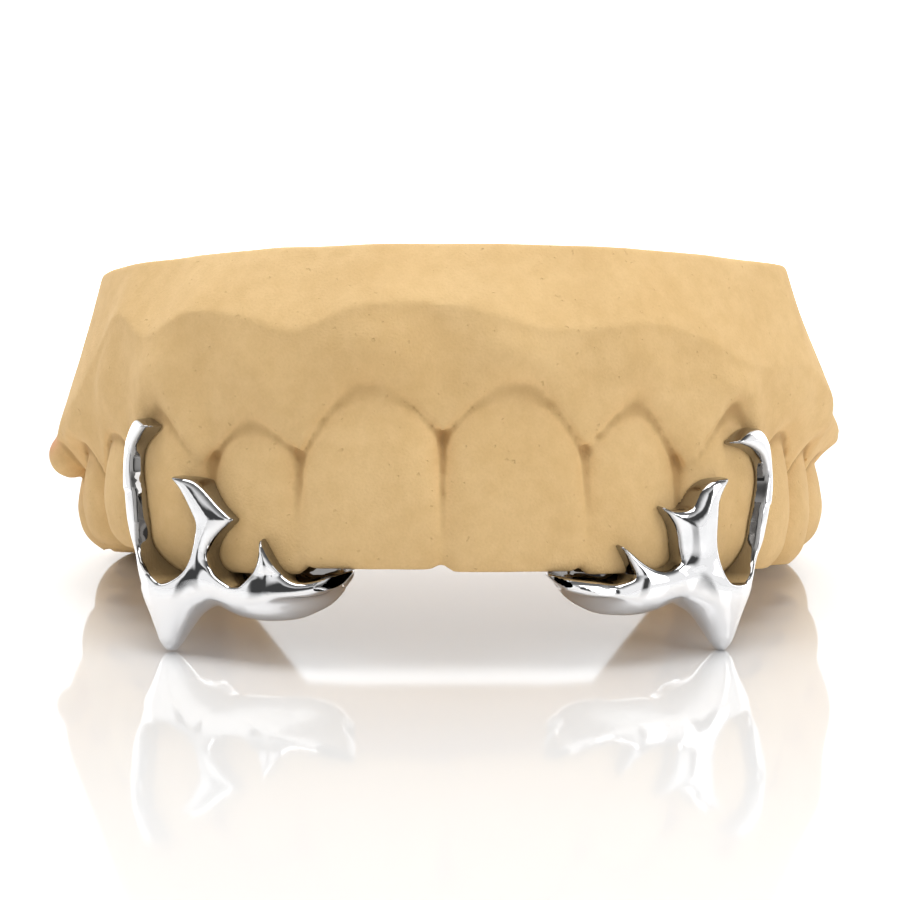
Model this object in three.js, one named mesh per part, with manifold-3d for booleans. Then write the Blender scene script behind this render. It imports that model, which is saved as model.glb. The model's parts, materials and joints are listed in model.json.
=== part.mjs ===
// A pair of vampire fang tooth caps on a dental stone cast of an upper jaw.
// Millimetres. The jaw is drawn first in its own frame: x to the right, y back from the
// front teeth, z up from the plane the teeth bite on. The finished group is tipped the
// way it stands, on the two fang tips and the last molars, with the floor at z = 0.
import * as THREE from "three";
import { mergeVertices } from "three/addons/utils/BufferGeometryUtils.js";
import Module from "manifold-3d";

const wasm = await Module();
wasm.setup();

// Jaw sizes
const archHalfWidth = 29; // midline to the cheek face of the last molars
const archDepth = 46; // front teeth to the end of the last molars
const backFace = 45; // trimmed back face, from the front teeth
const archOverrun = 1.25; // how far the arch is drawn before the back is cut, in depths
const baseTop = 20; // bite plane to the flat top of the base
const palateTop = 14.4; // bite plane to the roof of the palate
const ridgeFlare = 1.45; // how far the fold over the gum stands out from the teeth
const ridgeReach = 44; // along the arch, midline to the last row of the fold table
const topInset = 3.2; // edge of the flat top, in from the teeth
const gumLip = 0.35; // gum proud of the tooth it meets
const papillaSet = 1.5; // gum between two teeth, set back from their faces
const rootSwell = 0.55; // swelling of the gum over a root
const lumpRadius = 1.5; // cast bubble left on the gum at the left

// Jaw section, from the edge of the flat top round under the teeth to the palate
const topRound = { out: 0.12, up: 0.14 }; // below the top edge, shares of fold to top
const gumBelly = { out: 0.55, up: 0.5 }; // half way up the gum, shares of tooth to fold
const marginSink = 0.1; // gum edge at mid tooth behind its face, in tooth thicknesses
const seatIn = 0.3; // jaw skin inside a tooth, in from the gum edge, in thicknesses
const seatRise = 0.8; // the same skin, above the gum edge
const tongueLip = 0.6; // gum over the back of a tooth
const tongueDip = 0.45; // its edge, share of the way from neck to papilla
const palateSlope = 2.2; // back of a tooth to half way up the palate
const palateEdge = 4.8; // back of a tooth to the roof of the palate
const palateRound = 0.5; // edge of the roof, below the roof
const tail = [3, 7, 11]; // rows of the jaw skin behind the last tooth

// Teeth
const crownTall = 10.9; // bite plane to the gum over the middle of a front tooth
const crownThick = 11.4; // front to back of the thickest molar
const midPapilla = 0.75; // gum between the two front teeth, share of the tall crown
const widest = 0.42; // where a tooth is widest, share of its thickness from the front
const sideSquare = 2.6; // how square the sides are, where 2 is an ellipse
const backSquare = 2.1; // how square the back is
const contactOverlap = 0.3; // two neighbours run into each other, as cast teeth do
const cuspRise = 0.3; // cusps on the rim of a chewing face, share of their depth

// Cap sizes
const fitGap = 0.3; // between a cap and the stone
const capWall = 0.8; // thickness of a cap on the front of the teeth
const lingualWall = 0.8; // thickness of a cap behind the teeth
const capAxisX = 0.183 * archHalfWidth; // upright axis the flame is wrapped round
const capAxisY = 0.417 * archDepth; // the same axis, from the front teeth
const capSweep = 58; // degrees the outline turns through
const hookRise = 9.2; // bite plane to the top of the hook
const fangDrop = 5.5; // bite plane to the fang tip
const capCore = 15.2; // from the axis to where front and back shells meet
const capReach = 22.5; // from the axis to beyond every front face
const lingualReach = 7; // from the axis to behind every back face
const lingualRise = 5.2; // bite plane to the top edge of the back shell
const barDeep = 2.1; // half thickness of the bar, front to back
const barTall = 1.6; // half height of the bar
const fangOut = 17.5; // from the axis to the middle of the fang tip
const fangWide = 4.3; // half width of the fang at its root
const lowJoin = -1.25; // height below which bar and fang are whole, not cut to the flame
const lowLap = 0.2; // how far the cut flame runs on below that
const shellLap = 0.1; // how far the back shell runs into the front

const tiny = 0.03; // faces flatter than this are merged in the finished solids
const farAway = 120; // larger than the whole piece

const tau = 2 * Math.PI;
const degree = Math.PI / 180;

// A three.js geometry as a solid that can be joined and cut. A skin drawn for the other
// side of the jaw comes in facing inwards, and is turned to face out.
function solid(geometry) {
  const bare = geometry.index ? geometry.toNonIndexed() : geometry.clone();
  bare.deleteAttribute("normal");
  bare.deleteAttribute("uv");
  const merged = mergeVertices(bare, 1e-4);
  const triVerts = new Uint32Array(merged.index.array);
  if (signedVolume(merged) < 0)
    for (let i = 0; i < triVerts.length; i += 3)
      [triVerts[i + 1], triVerts[i + 2]] = [triVerts[i + 2], triVerts[i + 1]];
  const vertProperties = merged.attributes.position.array;
  return new wasm.Manifold(new wasm.Mesh({ numProp: 3, vertProperties, triVerts }));
}

function signedVolume(geometry) {
  const [a, b, c] = [new THREE.Vector3(), new THREE.Vector3(), new THREE.Vector3()];
  const points = geometry.attributes.position;
  let total = 0;
  for (let i = 0; i < geometry.index.count; i += 3) {
    a.fromBufferAttribute(points, geometry.index.getX(i));
    b.fromBufferAttribute(points, geometry.index.getX(i + 1));
    c.fromBufferAttribute(points, geometry.index.getX(i + 2));
    total += a.dot(b.cross(c));
  }
  return total;
}

// A solid as a three.js mesh with its own colour.
function meshOf(name, made, look) {
  const data = made.getMesh();
  const geometry = new THREE.BufferGeometry();
  const corners = new Float32Array(data.triVerts.length * 3);
  data.triVerts.forEach((vertex, i) => {
    for (let k = 0; k < 3; k++)
      corners[3 * i + k] = data.vertProperties[vertex * data.numProp + k];
  });
  geometry.setAttribute("position", new THREE.BufferAttribute(corners, 3));
  geometry.computeVertexNormals();
  const mesh = new THREE.Mesh(geometry, new THREE.MeshStandardMaterial(look));
  mesh.name = name;
  return mesh;
}

// A closed skin over a stack of closed rings, each end closed to a point.
function loft(rings, first, last) {
  const count = rings[0].length;
  const points = [first, ...rings.flat(), last];
  const faces = [];
  const at = (ring, i) => 1 + ring * count + (i % count);
  for (let i = 0; i < count; i++) {
    faces.push(0, at(0, i + 1), at(0, i));
    for (let ring = 0; ring + 1 < rings.length; ring++) {
      faces.push(at(ring, i), at(ring, i + 1), at(ring + 1, i + 1));
      faces.push(at(ring, i), at(ring + 1, i + 1), at(ring + 1, i));
    }
    faces.push(points.length - 1, at(rings.length - 1, i), at(rings.length - 1, i + 1));
  }
  const geometry = new THREE.BufferGeometry().setFromPoints(points);
  geometry.setIndex(faces);
  return geometry;
}

const mix = (a, b, t) => a + (b - a) * t;

// A column of a table at a place between its rows.
function column(rows, key, place, name) {
  const next = rows.findIndex((row) => row[key] > place);
  if (next === 0) return rows[0][name];
  if (next < 0) return rows[rows.length - 1][name];
  const [low, high] = [rows[next - 1], rows[next]];
  return mix(low[name], high[name], (place - low[key]) / (high[key] - low[key]));
}

// Faces of the teeth in plan: shares of the half width, left and right, and of the depth.
const archRows = [
  { left: 0.147, right: 0.147, back: 0.0 },
  { left: 0.293, right: 0.293, back: 0.026 },
  { left: 0.393, right: 0.396, back: 0.047 },
  { left: 0.497, right: 0.505, back: 0.09 },
  { left: 0.614, right: 0.632, back: 0.145 },
  { left: 0.712, right: 0.735, back: 0.226 },
  { left: 0.787, right: 0.808, back: 0.302 },
  { left: 0.848, right: 0.864, back: 0.376 },
  { left: 0.895, right: 0.908, back: 0.448 },
  { left: 0.925, right: 0.947, back: 0.522 },
  { left: 0.963, right: 0.994, back: 0.63 },
  { left: 0.982, right: 1.014, back: 0.743 },
  { left: 0.982, right: 1.014, back: 0.848 },
  { left: 0.97, right: 0.996, back: 1.0 },
  { left: 0.965, right: 0.965, back: archOverrun },
];
const midline = new THREE.Vector3(0, 0.25, 0);
const archSide = (side) =>
  archRows.map(
    (row) =>
      new THREE.Vector3(
        (side < 0 ? -row.left : row.right) * archHalfWidth,
        row.back * archDepth,
        0,
      ),
  );
const arch = new THREE.CatmullRomCurve3([
  ...archSide(-1).reverse(),
  midline,
  ...archSide(1),
]);
arch.arcLengthDivisions = 600;
const archLengths = arch.getLengths();
const archLeft = archLengths[300];
const archLength = archLengths[600];
const lastShare = 0.5 + (0.5 * (archRows.length - 1)) / archRows.length;
const archRun = archLengths[Math.round(600 * lastShare)] - archLeft;

// A point of the jaw: along the arch from the midline, out from the tooth faces, up.
function onArch(along, out, up) {
  const share = THREE.MathUtils.clamp((archLeft + along) / archLength, 0, 1);
  const point = arch.getPointAt(share);
  const tangent = arch.getTangentAt(share);
  return new THREE.Vector3(point.x + tangent.y * out, point.y - tangent.x * out, up);
}

// Crown sections: share of the crown height, of its width, and of its thickness to the
// front face and to the back face.
const incisorRows = [
  { rise: 0.0, width: 0.9, front: 0.13, back: 0.32 },
  { rise: 0.035, width: 0.965, front: 0.08, back: 0.37 },
  { rise: 0.14, width: 1.0, front: 0.05, back: 0.45 },
  { rise: 0.38, width: 0.985, front: 0.01, back: 0.62 },
  { rise: 0.62, width: 0.95, front: 0.01, back: 0.82 },
  { rise: 0.85, width: 0.9, front: 0.06, back: 0.98 },
  { rise: 1.02, width: 0.8, front: 0.14, back: 1.0 },
  { rise: 1.25, width: 0.66, front: 0.24, back: 0.96 },
];
const canineRows = [
  { rise: 0.0, width: 0.34, front: 0.2, back: 0.44 },
  { rise: 0.06, width: 0.6, front: 0.14, back: 0.5 },
  { rise: 0.17, width: 0.88, front: 0.07, back: 0.6 },
  { rise: 0.32, width: 1.0, front: 0.02, back: 0.76 },
  { rise: 0.55, width: 1.0, front: -0.01, back: 0.93 },
  { rise: 0.8, width: 0.94, front: 0.01, back: 1.0 },
  { rise: 1.0, width: 0.84, front: 0.06, back: 1.0 },
  { rise: 1.25, width: 0.66, front: 0.18, back: 0.94 },
];
const premolarRows = [
  { rise: 0.0, width: 0.62, front: 0.19, back: 0.81 },
  { rise: 0.1, width: 0.86, front: 0.09, back: 0.91 },
  { rise: 0.3, width: 1.0, front: 0.02, back: 0.98 },
  { rise: 0.65, width: 0.95, front: 0.01, back: 1.0 },
  { rise: 1.0, width: 0.78, front: 0.07, back: 0.96 },
  { rise: 1.3, width: 0.68, front: 0.13, back: 0.9 },
];
const molarRows = [
  { rise: 0.0, width: 0.76, front: 0.17, back: 0.85 },
  { rise: 0.12, width: 0.92, front: 0.07, back: 0.94 },
  { rise: 0.35, width: 1.0, front: 0.0, back: 1.0 },
  { rise: 0.7, width: 0.95, front: 0.01, back: 0.99 },
  { rise: 1.0, width: 0.84, front: 0.06, back: 0.93 },
  { rise: 1.35, width: 0.74, front: 0.12, back: 0.86 },
];

// One row a tooth, from the midline back. Room is its share of the arch, from the midline
// to the arch's depth. Edge, neck and papilla are the heights of its lowest point, of the
// gum over its middle and of the gum behind it, left and right, as shares of the tall
// crown. Thick, set and cusps are its thickness, how far it stands back and how deep the
// chewing face is cut, as shares of the thick crown. Points is how many cusps it has, and
// square and scallop are how square its section and the gum over it are.
const toothRows = [
  {
    name: "central",
    room: 0.145,
    thick: 0.625,
    edge: [-0.01, -0.025],
    neck: [1, 1],
    papilla: [0.64, 0.67],
    rows: incisorRows,
    square: 3.0,
    scallop: 2.4,
    set: 0,
    cusps: 0,
    points: 2,
  },
  {
    name: "lateral",
    room: 0.12,
    thick: 0.545,
    edge: [-0.045, -0.045],
    neck: [0.825, 0.925],
    papilla: [0.595, 0.57],
    rows: incisorRows,
    square: 2.6,
    scallop: 1.7,
    set: 0.03,
    cusps: 0,
    points: 2,
  },
  {
    name: "canine",
    room: 0.133,
    thick: 0.71,
    edge: [-0.09, -0.09],
    neck: [0.915, 0.925],
    papilla: [0.515, 0.515],
    rows: canineRows,
    square: 2.9,
    scallop: 1.3,
    set: 0,
    cusps: 0,
    points: 2,
  },
  {
    name: "premolar_1",
    room: 0.1165,
    thick: 0.81,
    edge: [0.045, -0.09],
    neck: [0.79, 0.79],
    papilla: [0.495, 0.495],
    rows: premolarRows,
    square: 2.5,
    scallop: 1.7,
    set: 0.01,
    cusps: 0.13,
    points: 2,
  },
  {
    name: "premolar_2",
    room: 0.11,
    thick: 0.79,
    edge: [0.045, -0.085],
    neck: [0.725, 0.725],
    papilla: [0.475, 0.475],
    rows: premolarRows,
    square: 2.5,
    scallop: 1.7,
    set: 0.01,
    cusps: 0.125,
    points: 2,
  },
  {
    name: "molar_1",
    room: 0.168,
    thick: 1,
    edge: [-0.01, -0.01],
    neck: [0.67, 0.67],
    papilla: [0.47, 0.47],
    rows: molarRows,
    square: 3.0,
    scallop: 2.0,
    set: 0.01,
    cusps: 0.14,
    points: 4,
  },
  {
    name: "molar_2",
    room: 0.152,
    thick: 0.98,
    edge: [-0.06, -0.06],
    neck: [0.635, 0.635],
    papilla: [0.515, 0.515],
    rows: molarRows,
    square: 2.9,
    scallop: 2.0,
    set: 0.01,
    cusps: 0.13,
    points: 4,
  },
];

const teeth = [];
for (const side of [-1, 1]) {
  let near = 0;
  let nearPapilla = midPapilla * crownTall;
  for (const row of toothRows) {
    const pick = side < 0 ? 0 : 1;
    const room = row.room * archRun;
    const farPapilla = row.papilla[pick] * crownTall;
    teeth.push({
      ...row,
      side,
      near,
      room,
      far: near + room,
      middle: side * (near + room / 2),
      thick: row.thick * crownThick,
      set: row.set * crownThick,
      cusps: row.cusps * crownThick,
      edge: row.edge[pick] * crownTall,
      neck: row.neck[pick] * crownTall,
      nearPapilla,
      farPapilla,
    });
    near += room;
    nearPapilla = farPapilla;
  }
}

// A sine or cosine bent so that the section it draws is squarer than an ellipse.
const rounded = (value, square) => Math.sign(value) * Math.abs(value) ** (2 / square);

// A tooth as a stack of rounded sections; grown, it is the same tooth with a skin on.
function tooth(row, grown = 0, steps = 20) {
  const height = row.neck - row.edge;
  const half = (row.room + contactOverlap) / 2;
  const rings = row.rows.map((section) => {
    const ring = [];
    const front = -row.set - section.front * row.thick + grown;
    const back = -row.set - section.back * row.thick - grown;
    const middle = mix(front, back, widest);
    const lip = section.rise === 0 ? -grown : 0;
    for (let i = 0; i < steps; i++) {
      const turn = (i / steps) * tau;
      const [c, s] = [Math.cos(turn), Math.sin(turn)];
      const along = (half * section.width + grown) * rounded(c, sideSquare);
      const out =
        s > 0
          ? middle + (front - middle) * rounded(s, row.square)
          : middle + (middle - back) * rounded(s, backSquare);
      const wave = cuspRise * row.cusps * (1 + Math.cos(row.points * turn));
      const cusp = section.rise === 0 ? wave : 0;
      ring.push(onTooth(row, along, out, row.edge + section.rise * height + lip + cusp));
    }
    return ring;
  });
  const low = row.rows[0];
  const high = row.rows[row.rows.length - 1];
  const depth = (section) => -row.set - mix(section.front, section.back, widest) * row.thick;
  const bottom = onTooth(row, 0, depth(low), row.edge + row.cusps - grown);
  const top = onTooth(row, 0, depth(high), row.edge + high.rise * height);
  return loft(rings, bottom, top);
}

// A point of a tooth: across it, out from its face, and up.
function onTooth(row, across, out, up) {
  const base = onArch(row.middle, 0, 0);
  const ahead = onArch(row.middle, 1, 0).sub(base);
  return new THREE.Vector3(
    base.x - ahead.y * across + ahead.x * out,
    base.y + ahead.x * across + ahead.y * out,
    up,
  );
}

// The fold over the gum, from the left end of the arch to the right: place along it as a
// share of the reach, height as a share of the base, stand-out as a share of the flare,
// and how far in the edge of the flat top lies as a share of the inset.
const ridgeRows = [
  { along: -1.0, rise: 0.42, flare: 1.0, inset: 1.1 },
  { along: -0.875, rise: 0.435, flare: 1.1, inset: 0.65 },
  { along: -0.75, rise: 0.56, flare: 0.6, inset: 0.35 },
  { along: -0.675, rise: 0.69, flare: 0.25, inset: 0.36 },
  { along: -0.6, rise: 0.81, flare: 0.2, inset: 0.45 },
  { along: -0.49, rise: 0.72, flare: 0.25, inset: 0.85 },
  { along: -0.39, rise: 0.79, flare: 0.2, inset: 0.9 },
  { along: -0.295, rise: 0.765, flare: 0.25, inset: 0.92 },
  { along: -0.205, rise: 0.715, flare: 0.3, inset: 1.0 },
  { along: -0.13, rise: 0.775, flare: 0.2, inset: 1.0 },
  { along: 0.02, rise: 0.785, flare: 0.2, inset: 0.9 },
  { along: 0.137, rise: 0.715, flare: 0.3, inset: 1.0 },
  { along: 0.22, rise: 0.72, flare: 0.3, inset: 0.85 },
  { along: 0.305, rise: 0.74, flare: 0.3, inset: 0.8 },
  { along: 0.39, rise: 0.705, flare: 0.3, inset: 0.75 },
  { along: 0.47, rise: 0.635, flare: 0.4, inset: 0.7 },
  { along: 0.56, rise: 0.63, flare: 0.45, inset: 0.5 },
  { along: 0.665, rise: 0.64, flare: 1.0, inset: 0.12 },
  { along: 0.72, rise: 0.58, flare: 1.35, inset: 0.35 },
  { along: 0.875, rise: 0.49, flare: 0.9, inset: 1.0 },
  { along: 1.0, rise: 0.45, flare: 0.9, inset: 1.25 },
];

// What the gum does at a place along the arch: its edges and how thick the tooth is.
function gumAt(along) {
  const reach = Math.abs(along);
  const side = along < 0 ? -1 : 1;
  const own = teeth.filter((row) => row.side === side);
  const row = own.find((one) => reach <= one.far) ?? own[own.length - 1];
  const place = THREE.MathUtils.clamp((reach - (row.near + row.far) / 2) / (row.room / 2), -1, 1);
  const papilla = place < 0 ? row.nearPapilla : row.farPapilla;
  const dip = Math.abs(place) ** row.scallop;
  return {
    row,
    dip,
    neck: mix(row.neck, papilla, dip),
    root: 1 - place * place,
    thick: row.thick,
  };
}

// Gum, palate and base as one skin: rings run round the arch and across the back, from
// the flat top over the fold, under the teeth and up into the palate.
function jaw(grown = 0) {
  const places = [];
  for (const row of teeth.filter((one) => one.side > 0))
    for (let i = 0; i < 6; i++) places.push(row.near + (row.room * i) / 6);
  const last = places[places.length - 1];
  places.push(...tail.map((step) => last + step));
  const stations = [...places.slice(1).reverse().map((s) => -s), ...places];
  const rings = [[], [], [], [], [], [], [], [], []];
  for (const along of stations) {
    const gum = gumAt(along);
    const share = along / ridgeReach;
    const ridge = column(ridgeRows, "along", share, "rise") * baseTop;
    const flare = column(ridgeRows, "along", share, "flare") * ridgeFlare;
    const inset = column(ridgeRows, "along", share, "inset") * topInset;
    const margin = mix(gumLip - marginSink * gum.thick, -papillaSet, gum.dip);
    const behind = -gum.row.set - gum.thick;
    const neck = gum.neck - grown;
    const rows = [
      [-inset, baseTop],
      [mix(flare, -inset, topRound.out), mix(ridge, baseTop, topRound.up)],
      [flare, ridge],
      [mix(margin, flare, gumBelly.out) + rootSwell * gum.root, mix(neck, ridge, gumBelly.up)],
      [margin, neck],
      [margin - seatIn * gum.thick, neck + seatRise],
      [behind + tongueLip, mix(gum.neck, gum.row.farPapilla, tongueDip) - grown],
      [behind - palateSlope, mix(gum.neck, palateTop, 0.5)],
      [behind - palateEdge, palateTop - palateRound],
    ];
    rows.forEach(([out, up], i) => {
      const side = i > 5 ? -grown : grown;
      rings[i].push(onArch(along, out + side, i > 6 ? up - grown : up));
    });
  }
  // The rings close across the back, behind where the back face is cut.
  for (const ring of rings) {
    const [from, to] = [ring[ring.length - 1], ring[0]];
    for (let i = 1; i < 6; i++) ring.push(from.clone().lerp(to, i / 6));
  }
  const centre = (up) => new THREE.Vector3(0, 0.6 * backFace, up);
  return loft(rings.reverse(), centre(palateTop - grown), centre(baseTop));
}

// A block of stone or air with one face through a point, reaching away from it.
function block(facing, through) {
  const box = new THREE.BoxGeometry(farAway, farAway, farAway);
  box.translate(0, 0, farAway / 2);
  box.applyQuaternion(
    new THREE.Quaternion().setFromUnitVectors(new THREE.Vector3(0, 0, 1), facing),
  );
  box.translate(through.x, through.y, through.z);
  return solid(box);
}

function stoneCast() {
  let made = solid(jaw());
  const lump = new THREE.SphereGeometry(lumpRadius, 12, 8);
  lump.rotateX(Math.PI / 2);
  const spot = onArch(-0.93 * ridgeReach, -0.4 * lumpRadius, 0.39 * baseTop);
  lump.translate(spot.x, spot.y, spot.z);
  made = made.add(solid(lump));
  for (const row of teeth) made = made.add(solid(tooth(row)));
  const backward = new THREE.Vector3(0, 1, 0);
  return made.subtract(block(backward, new THREE.Vector3(0, backFace, 0)));
}

// Flame outline of each cap, seen from the axis: turn as a share of the sweep, rise as a
// share of the hook height. A row with a corner name is a point, the others are smooth.
const leftFlame = [
  { turn: 0.805, rise: 0.95, corner: "hook tip" },
  { turn: 0.9, rise: 1 },
  { turn: 0.98, rise: 0.89 },
  { turn: 0.985, rise: 0.65 },
  { turn: 0.975, rise: 0.42 },
  { turn: 0.96, rise: 0.2 },
  { turn: 0.92, rise: 0.06 },
  { turn: 0.86, rise: -0.06 },
  { turn: 0.8, rise: -0.2 },
  { turn: 0.73, rise: -0.6, corner: "fang tip" },
  { turn: 0.65, rise: -0.4 },
  { turn: 0.56, rise: -0.26, corner: "fang crease" },
  { turn: 0.44, rise: -0.3 },
  { turn: 0.36, rise: -0.32 },
  { turn: 0.27, rise: -0.33 },
  { turn: 0.195, rise: -0.31 },
  { turn: 0.11, rise: -0.245 },
  { turn: 0.06, rise: -0.165 },
  { turn: 0.01, rise: -0.045, corner: "bar end" },
  { turn: 0.075, rise: -0.09 },
  { turn: 0.185, rise: -0.145 },
  { turn: 0.245, rise: -0.07 },
  { turn: 0.32, rise: 0.175, corner: "spike tip" },
  { turn: 0.335, rise: 0.005 },
  { turn: 0.36, rise: -0.075 },
  { turn: 0.4, rise: -0.14 },
  { turn: 0.455, rise: -0.105 },
  { turn: 0.51, rise: -0.03 },
  { turn: 0.535, rise: 0.07 },
  { turn: 0.51, rise: 0.175 },
  { turn: 0.43, rise: 0.31, corner: "barb tip" },
  { turn: 0.485, rise: 0.4 },
  { turn: 0.58, rise: 0.57 },
  { turn: 0.665, rise: 0.595, corner: "blade tip" },
  { turn: 0.63, rise: 0.52 },
  { turn: 0.585, rise: 0.36 },
  { turn: 0.57, rise: 0.28 },
  { turn: 0.575, rise: 0.185 },
  { turn: 0.595, rise: 0.025 },
  { turn: 0.62, rise: -0.06 },
  { turn: 0.69, rise: -0.13 },
  { turn: 0.755, rise: -0.075 },
  { turn: 0.835, rise: 0.01 },
  { turn: 0.885, rise: 0.12 },
  { turn: 0.88, rise: 0.3 },
  { turn: 0.89, rise: 0.5 },
  { turn: 0.91, rise: 0.66 },
  { turn: 0.9, rise: 0.8 },
];
const rightFlame = [
  { turn: 0.765, rise: 0.835, corner: "hook tip" },
  { turn: 0.85, rise: 0.915 },
  { turn: 0.93, rise: 0.93 },
  { turn: 0.99, rise: 0.86 },
  { turn: 1, rise: 0.68 },
  { turn: 1, rise: 0.52 },
  { turn: 0.975, rise: 0.27 },
  { turn: 0.96, rise: 0.12 },
  { turn: 0.92, rise: -0.01 },
  { turn: 0.85, rise: -0.2 },
  { turn: 0.755, rise: -0.6, corner: "fang tip" },
  { turn: 0.69, rise: -0.43 },
  { turn: 0.575, rise: -0.24, corner: "fang crease" },
  { turn: 0.47, rise: -0.27 },
  { turn: 0.37, rise: -0.32 },
  { turn: 0.29, rise: -0.3 },
  { turn: 0.19, rise: -0.235 },
  { turn: 0.105, rise: -0.135 },
  { turn: 0.06, rise: -0.065, corner: "bar end" },
  { turn: 0.13, rise: -0.105 },
  { turn: 0.225, rise: -0.145 },
  { turn: 0.3, rise: -0.15 },
  { turn: 0.355, rise: -0.08 },
  { turn: 0.34, rise: 0.02 },
  { turn: 0.305, rise: 0.135, corner: "spike tip" },
  { turn: 0.34, rise: 0.095 },
  { turn: 0.425, rise: -0.02 },
  { turn: 0.49, rise: -0.03 },
  { turn: 0.54, rise: 0.03 },
  { turn: 0.535, rise: 0.13 },
  { turn: 0.52, rise: 0.255 },
  { turn: 0.47, rise: 0.39, corner: "barb tip" },
  { turn: 0.51, rise: 0.37 },
  { turn: 0.575, rise: 0.385 },
  { turn: 0.615, rise: 0.51 },
  { turn: 0.65, rise: 0.565 },
  { turn: 0.72, rise: 0.585, corner: "blade tip" },
  { turn: 0.68, rise: 0.44 },
  { turn: 0.675, rise: 0.3 },
  { turn: 0.675, rise: 0.115 },
  { turn: 0.705, rise: -0.09 },
  { turn: 0.75, rise: -0.155 },
  { turn: 0.8, rise: -0.145 },
  { turn: 0.87, rise: -0.06 },
  { turn: 0.915, rise: 0.1 },
  { turn: 0.92, rise: 0.3 },
  { turn: 0.935, rise: 0.45 },
  { turn: 0.955, rise: 0.6 },
  { turn: 0.93, rise: 0.72 },
  { turn: 0.87, rise: 0.79 },
];

// The bar under the lateral tooth, from inside the fang to its end behind the front
// tooth: its place as a share of the arch, and its place out from the faces and up and its
// half sizes as shares of the half thickness and the half height.
const barRows = [
  { along: 0.29, out: -0.86, up: -0.84, deep: 0.9, tall: 0.56 },
  { along: 0.255, out: -0.71, up: -0.84, deep: 1, tall: 0.62 },
  { along: 0.215, out: -0.57, up: -1.03, deep: 1, tall: 0.81 },
  { along: 0.18, out: -0.71, up: -1.09, deep: 0.9, tall: 0.84 },
  { along: 0.145, out: -1.29, up: -0.78, deep: 0.76, tall: 1 },
  { along: 0.125, out: -1.81, up: -0.44, deep: 0.52, tall: 0.78 },
  { along: 0.11, out: -2.19, up: -0.12, deep: 0.24, tall: 0.37 },
];
const barReach = { left: 0.97, right: 0.88 }; // how far each bar runs, as a share

// Outline of the back shell: turn as a share of the sweep, rise as a share of its own.
const shellRows = [
  { turn: -0.1, rise: -0.6, corner: "bar end, below" },
  { turn: 0.95, rise: -0.3, corner: "behind the fang, below" },
  { turn: 0.95, rise: 1, corner: "behind the fang, above" },
  { turn: 0.5, rise: 0.85, corner: "between the teeth" },
  { turn: 0.2, rise: 0.8, corner: "behind the lateral tooth" },
  { turn: 0.1, rise: 0.1, corner: "bar, above" },
  { turn: -0.1, rise: 0.1, corner: "bar end, above" },
];

// The fang round and below the canine: how far down as a share of the drop, the turn of
// its middle as a share of the sweep, its distance from the axis as a share of the tip's,
// and its half sizes as shares of the widest.
const fangRows = [
  { down: -0.5, turn: 0.74, out: 0.935, wide: 1, deep: 0.605 },
  { down: -0.1, turn: 0.73, out: 0.945, wide: 0.885, deep: 0.605 },
  { down: 0.18, turn: 0.72, out: 0.96, wide: 0.745, deep: 0.58 },
  { down: 0.36, turn: 0.715, out: 0.975, wide: 0.65, deep: 0.51 },
  { down: 0.58, turn: 0.725, out: 0.99, wide: 0.42, deep: 0.37 },
  { down: 0.77, turn: 0.735, out: 0.995, wide: 0.245, deep: 0.245 },
  { down: 0.92, turn: 0.74, out: 1, wide: 0.115, deep: 0.115 },
];
const fangShift = { left: 0, right: 0.035 }; // turn of the whole fang, by side

// A point of a cap: turn from the front, distance from its axis, and up.
function onCap(side, turn, out, up) {
  return new THREE.Vector3(
    side * (capAxisX + out * Math.sin(turn * degree)),
    capAxisY - out * Math.cos(turn * degree),
    up,
  );
}

// An outline with the runs between its corners filled in, in degrees and mm.
function filled(rows, tall, steps) {
  const spots = rows.map((row) => new THREE.Vector2(row.turn * capSweep, row.rise * tall));
  const corners = rows.flatMap((row, i) => (row.corner ? [i] : []));
  const outline = [];
  corners.forEach((from, i) => {
    const to = i + 1 < corners.length ? corners[i + 1] : rows.length;
    const run = spots.slice(from, to);
    run.push(spots[to % rows.length]);
    const curve = new THREE.SplineCurve(run);
    outline.push(...curve.getPoints(steps * (run.length - 1)).slice(0, -1));
  });
  return outline;
}

// A band between two distances from the cap's axis, cut to an outline.
function wrapped(side, outline, inner, outer) {
  const ring = THREE.ShapeUtils.isClockWise(outline) ? outline.slice().reverse() : outline;
  const caps = THREE.ShapeUtils.triangulateShape(ring, []);
  const points = [];
  for (const out of [inner, outer])
    for (const spot of ring) points.push(onCap(side, spot.x, out, spot.y));
  const count = ring.length;
  const faces = [];
  const face = (a, b, c) => (side > 0 ? faces.push(a, b, c) : faces.push(a, c, b));
  for (const [a, b, c] of caps) {
    face(a, c, b);
    face(a + count, b + count, c + count);
  }
  for (let i = 0; i < count; i++) {
    const j = (i + 1) % count;
    face(i, j, j + count);
    face(i, j + count, i + count);
  }
  const geometry = new THREE.BufferGeometry().setFromPoints(points);
  geometry.setIndex(faces);
  return solid(geometry);
}

// An oval section: its middle and its two half sizes as vectors.
function oval(middle, across, down, square, steps) {
  const ring = [];
  for (let i = 0; i < steps; i++) {
    const turn = (i / steps) * tau;
    const [c, s] = [Math.cos(turn), Math.sin(turn)];
    ring.push(
      middle
        .clone()
        .addScaledVector(across, rounded(c, square))
        .addScaledVector(down, rounded(s, square)),
    );
  }
  return ring;
}

function bar(side) {
  const reach = side < 0 ? barReach.left : barReach.right;
  const start = barRows[0].along;
  const spot = (row, out) => {
    const along = side * archRun * (start + (row.along - start) * reach);
    return onArch(along, (row.out + out) * barDeep, row.up * barTall);
  };
  const rings = barRows.map((row) => {
    const across = spot(row, row.deep).sub(spot(row, 0)).multiplyScalar(side);
    const tall = new THREE.Vector3(0, 0, row.tall * barTall);
    return oval(spot(row, 0), across, tall, 2.2, 14);
  });
  return solid(loft(rings, spot(barRows[0], 0), spot(barRows[barRows.length - 1], 0)));
}

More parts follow.
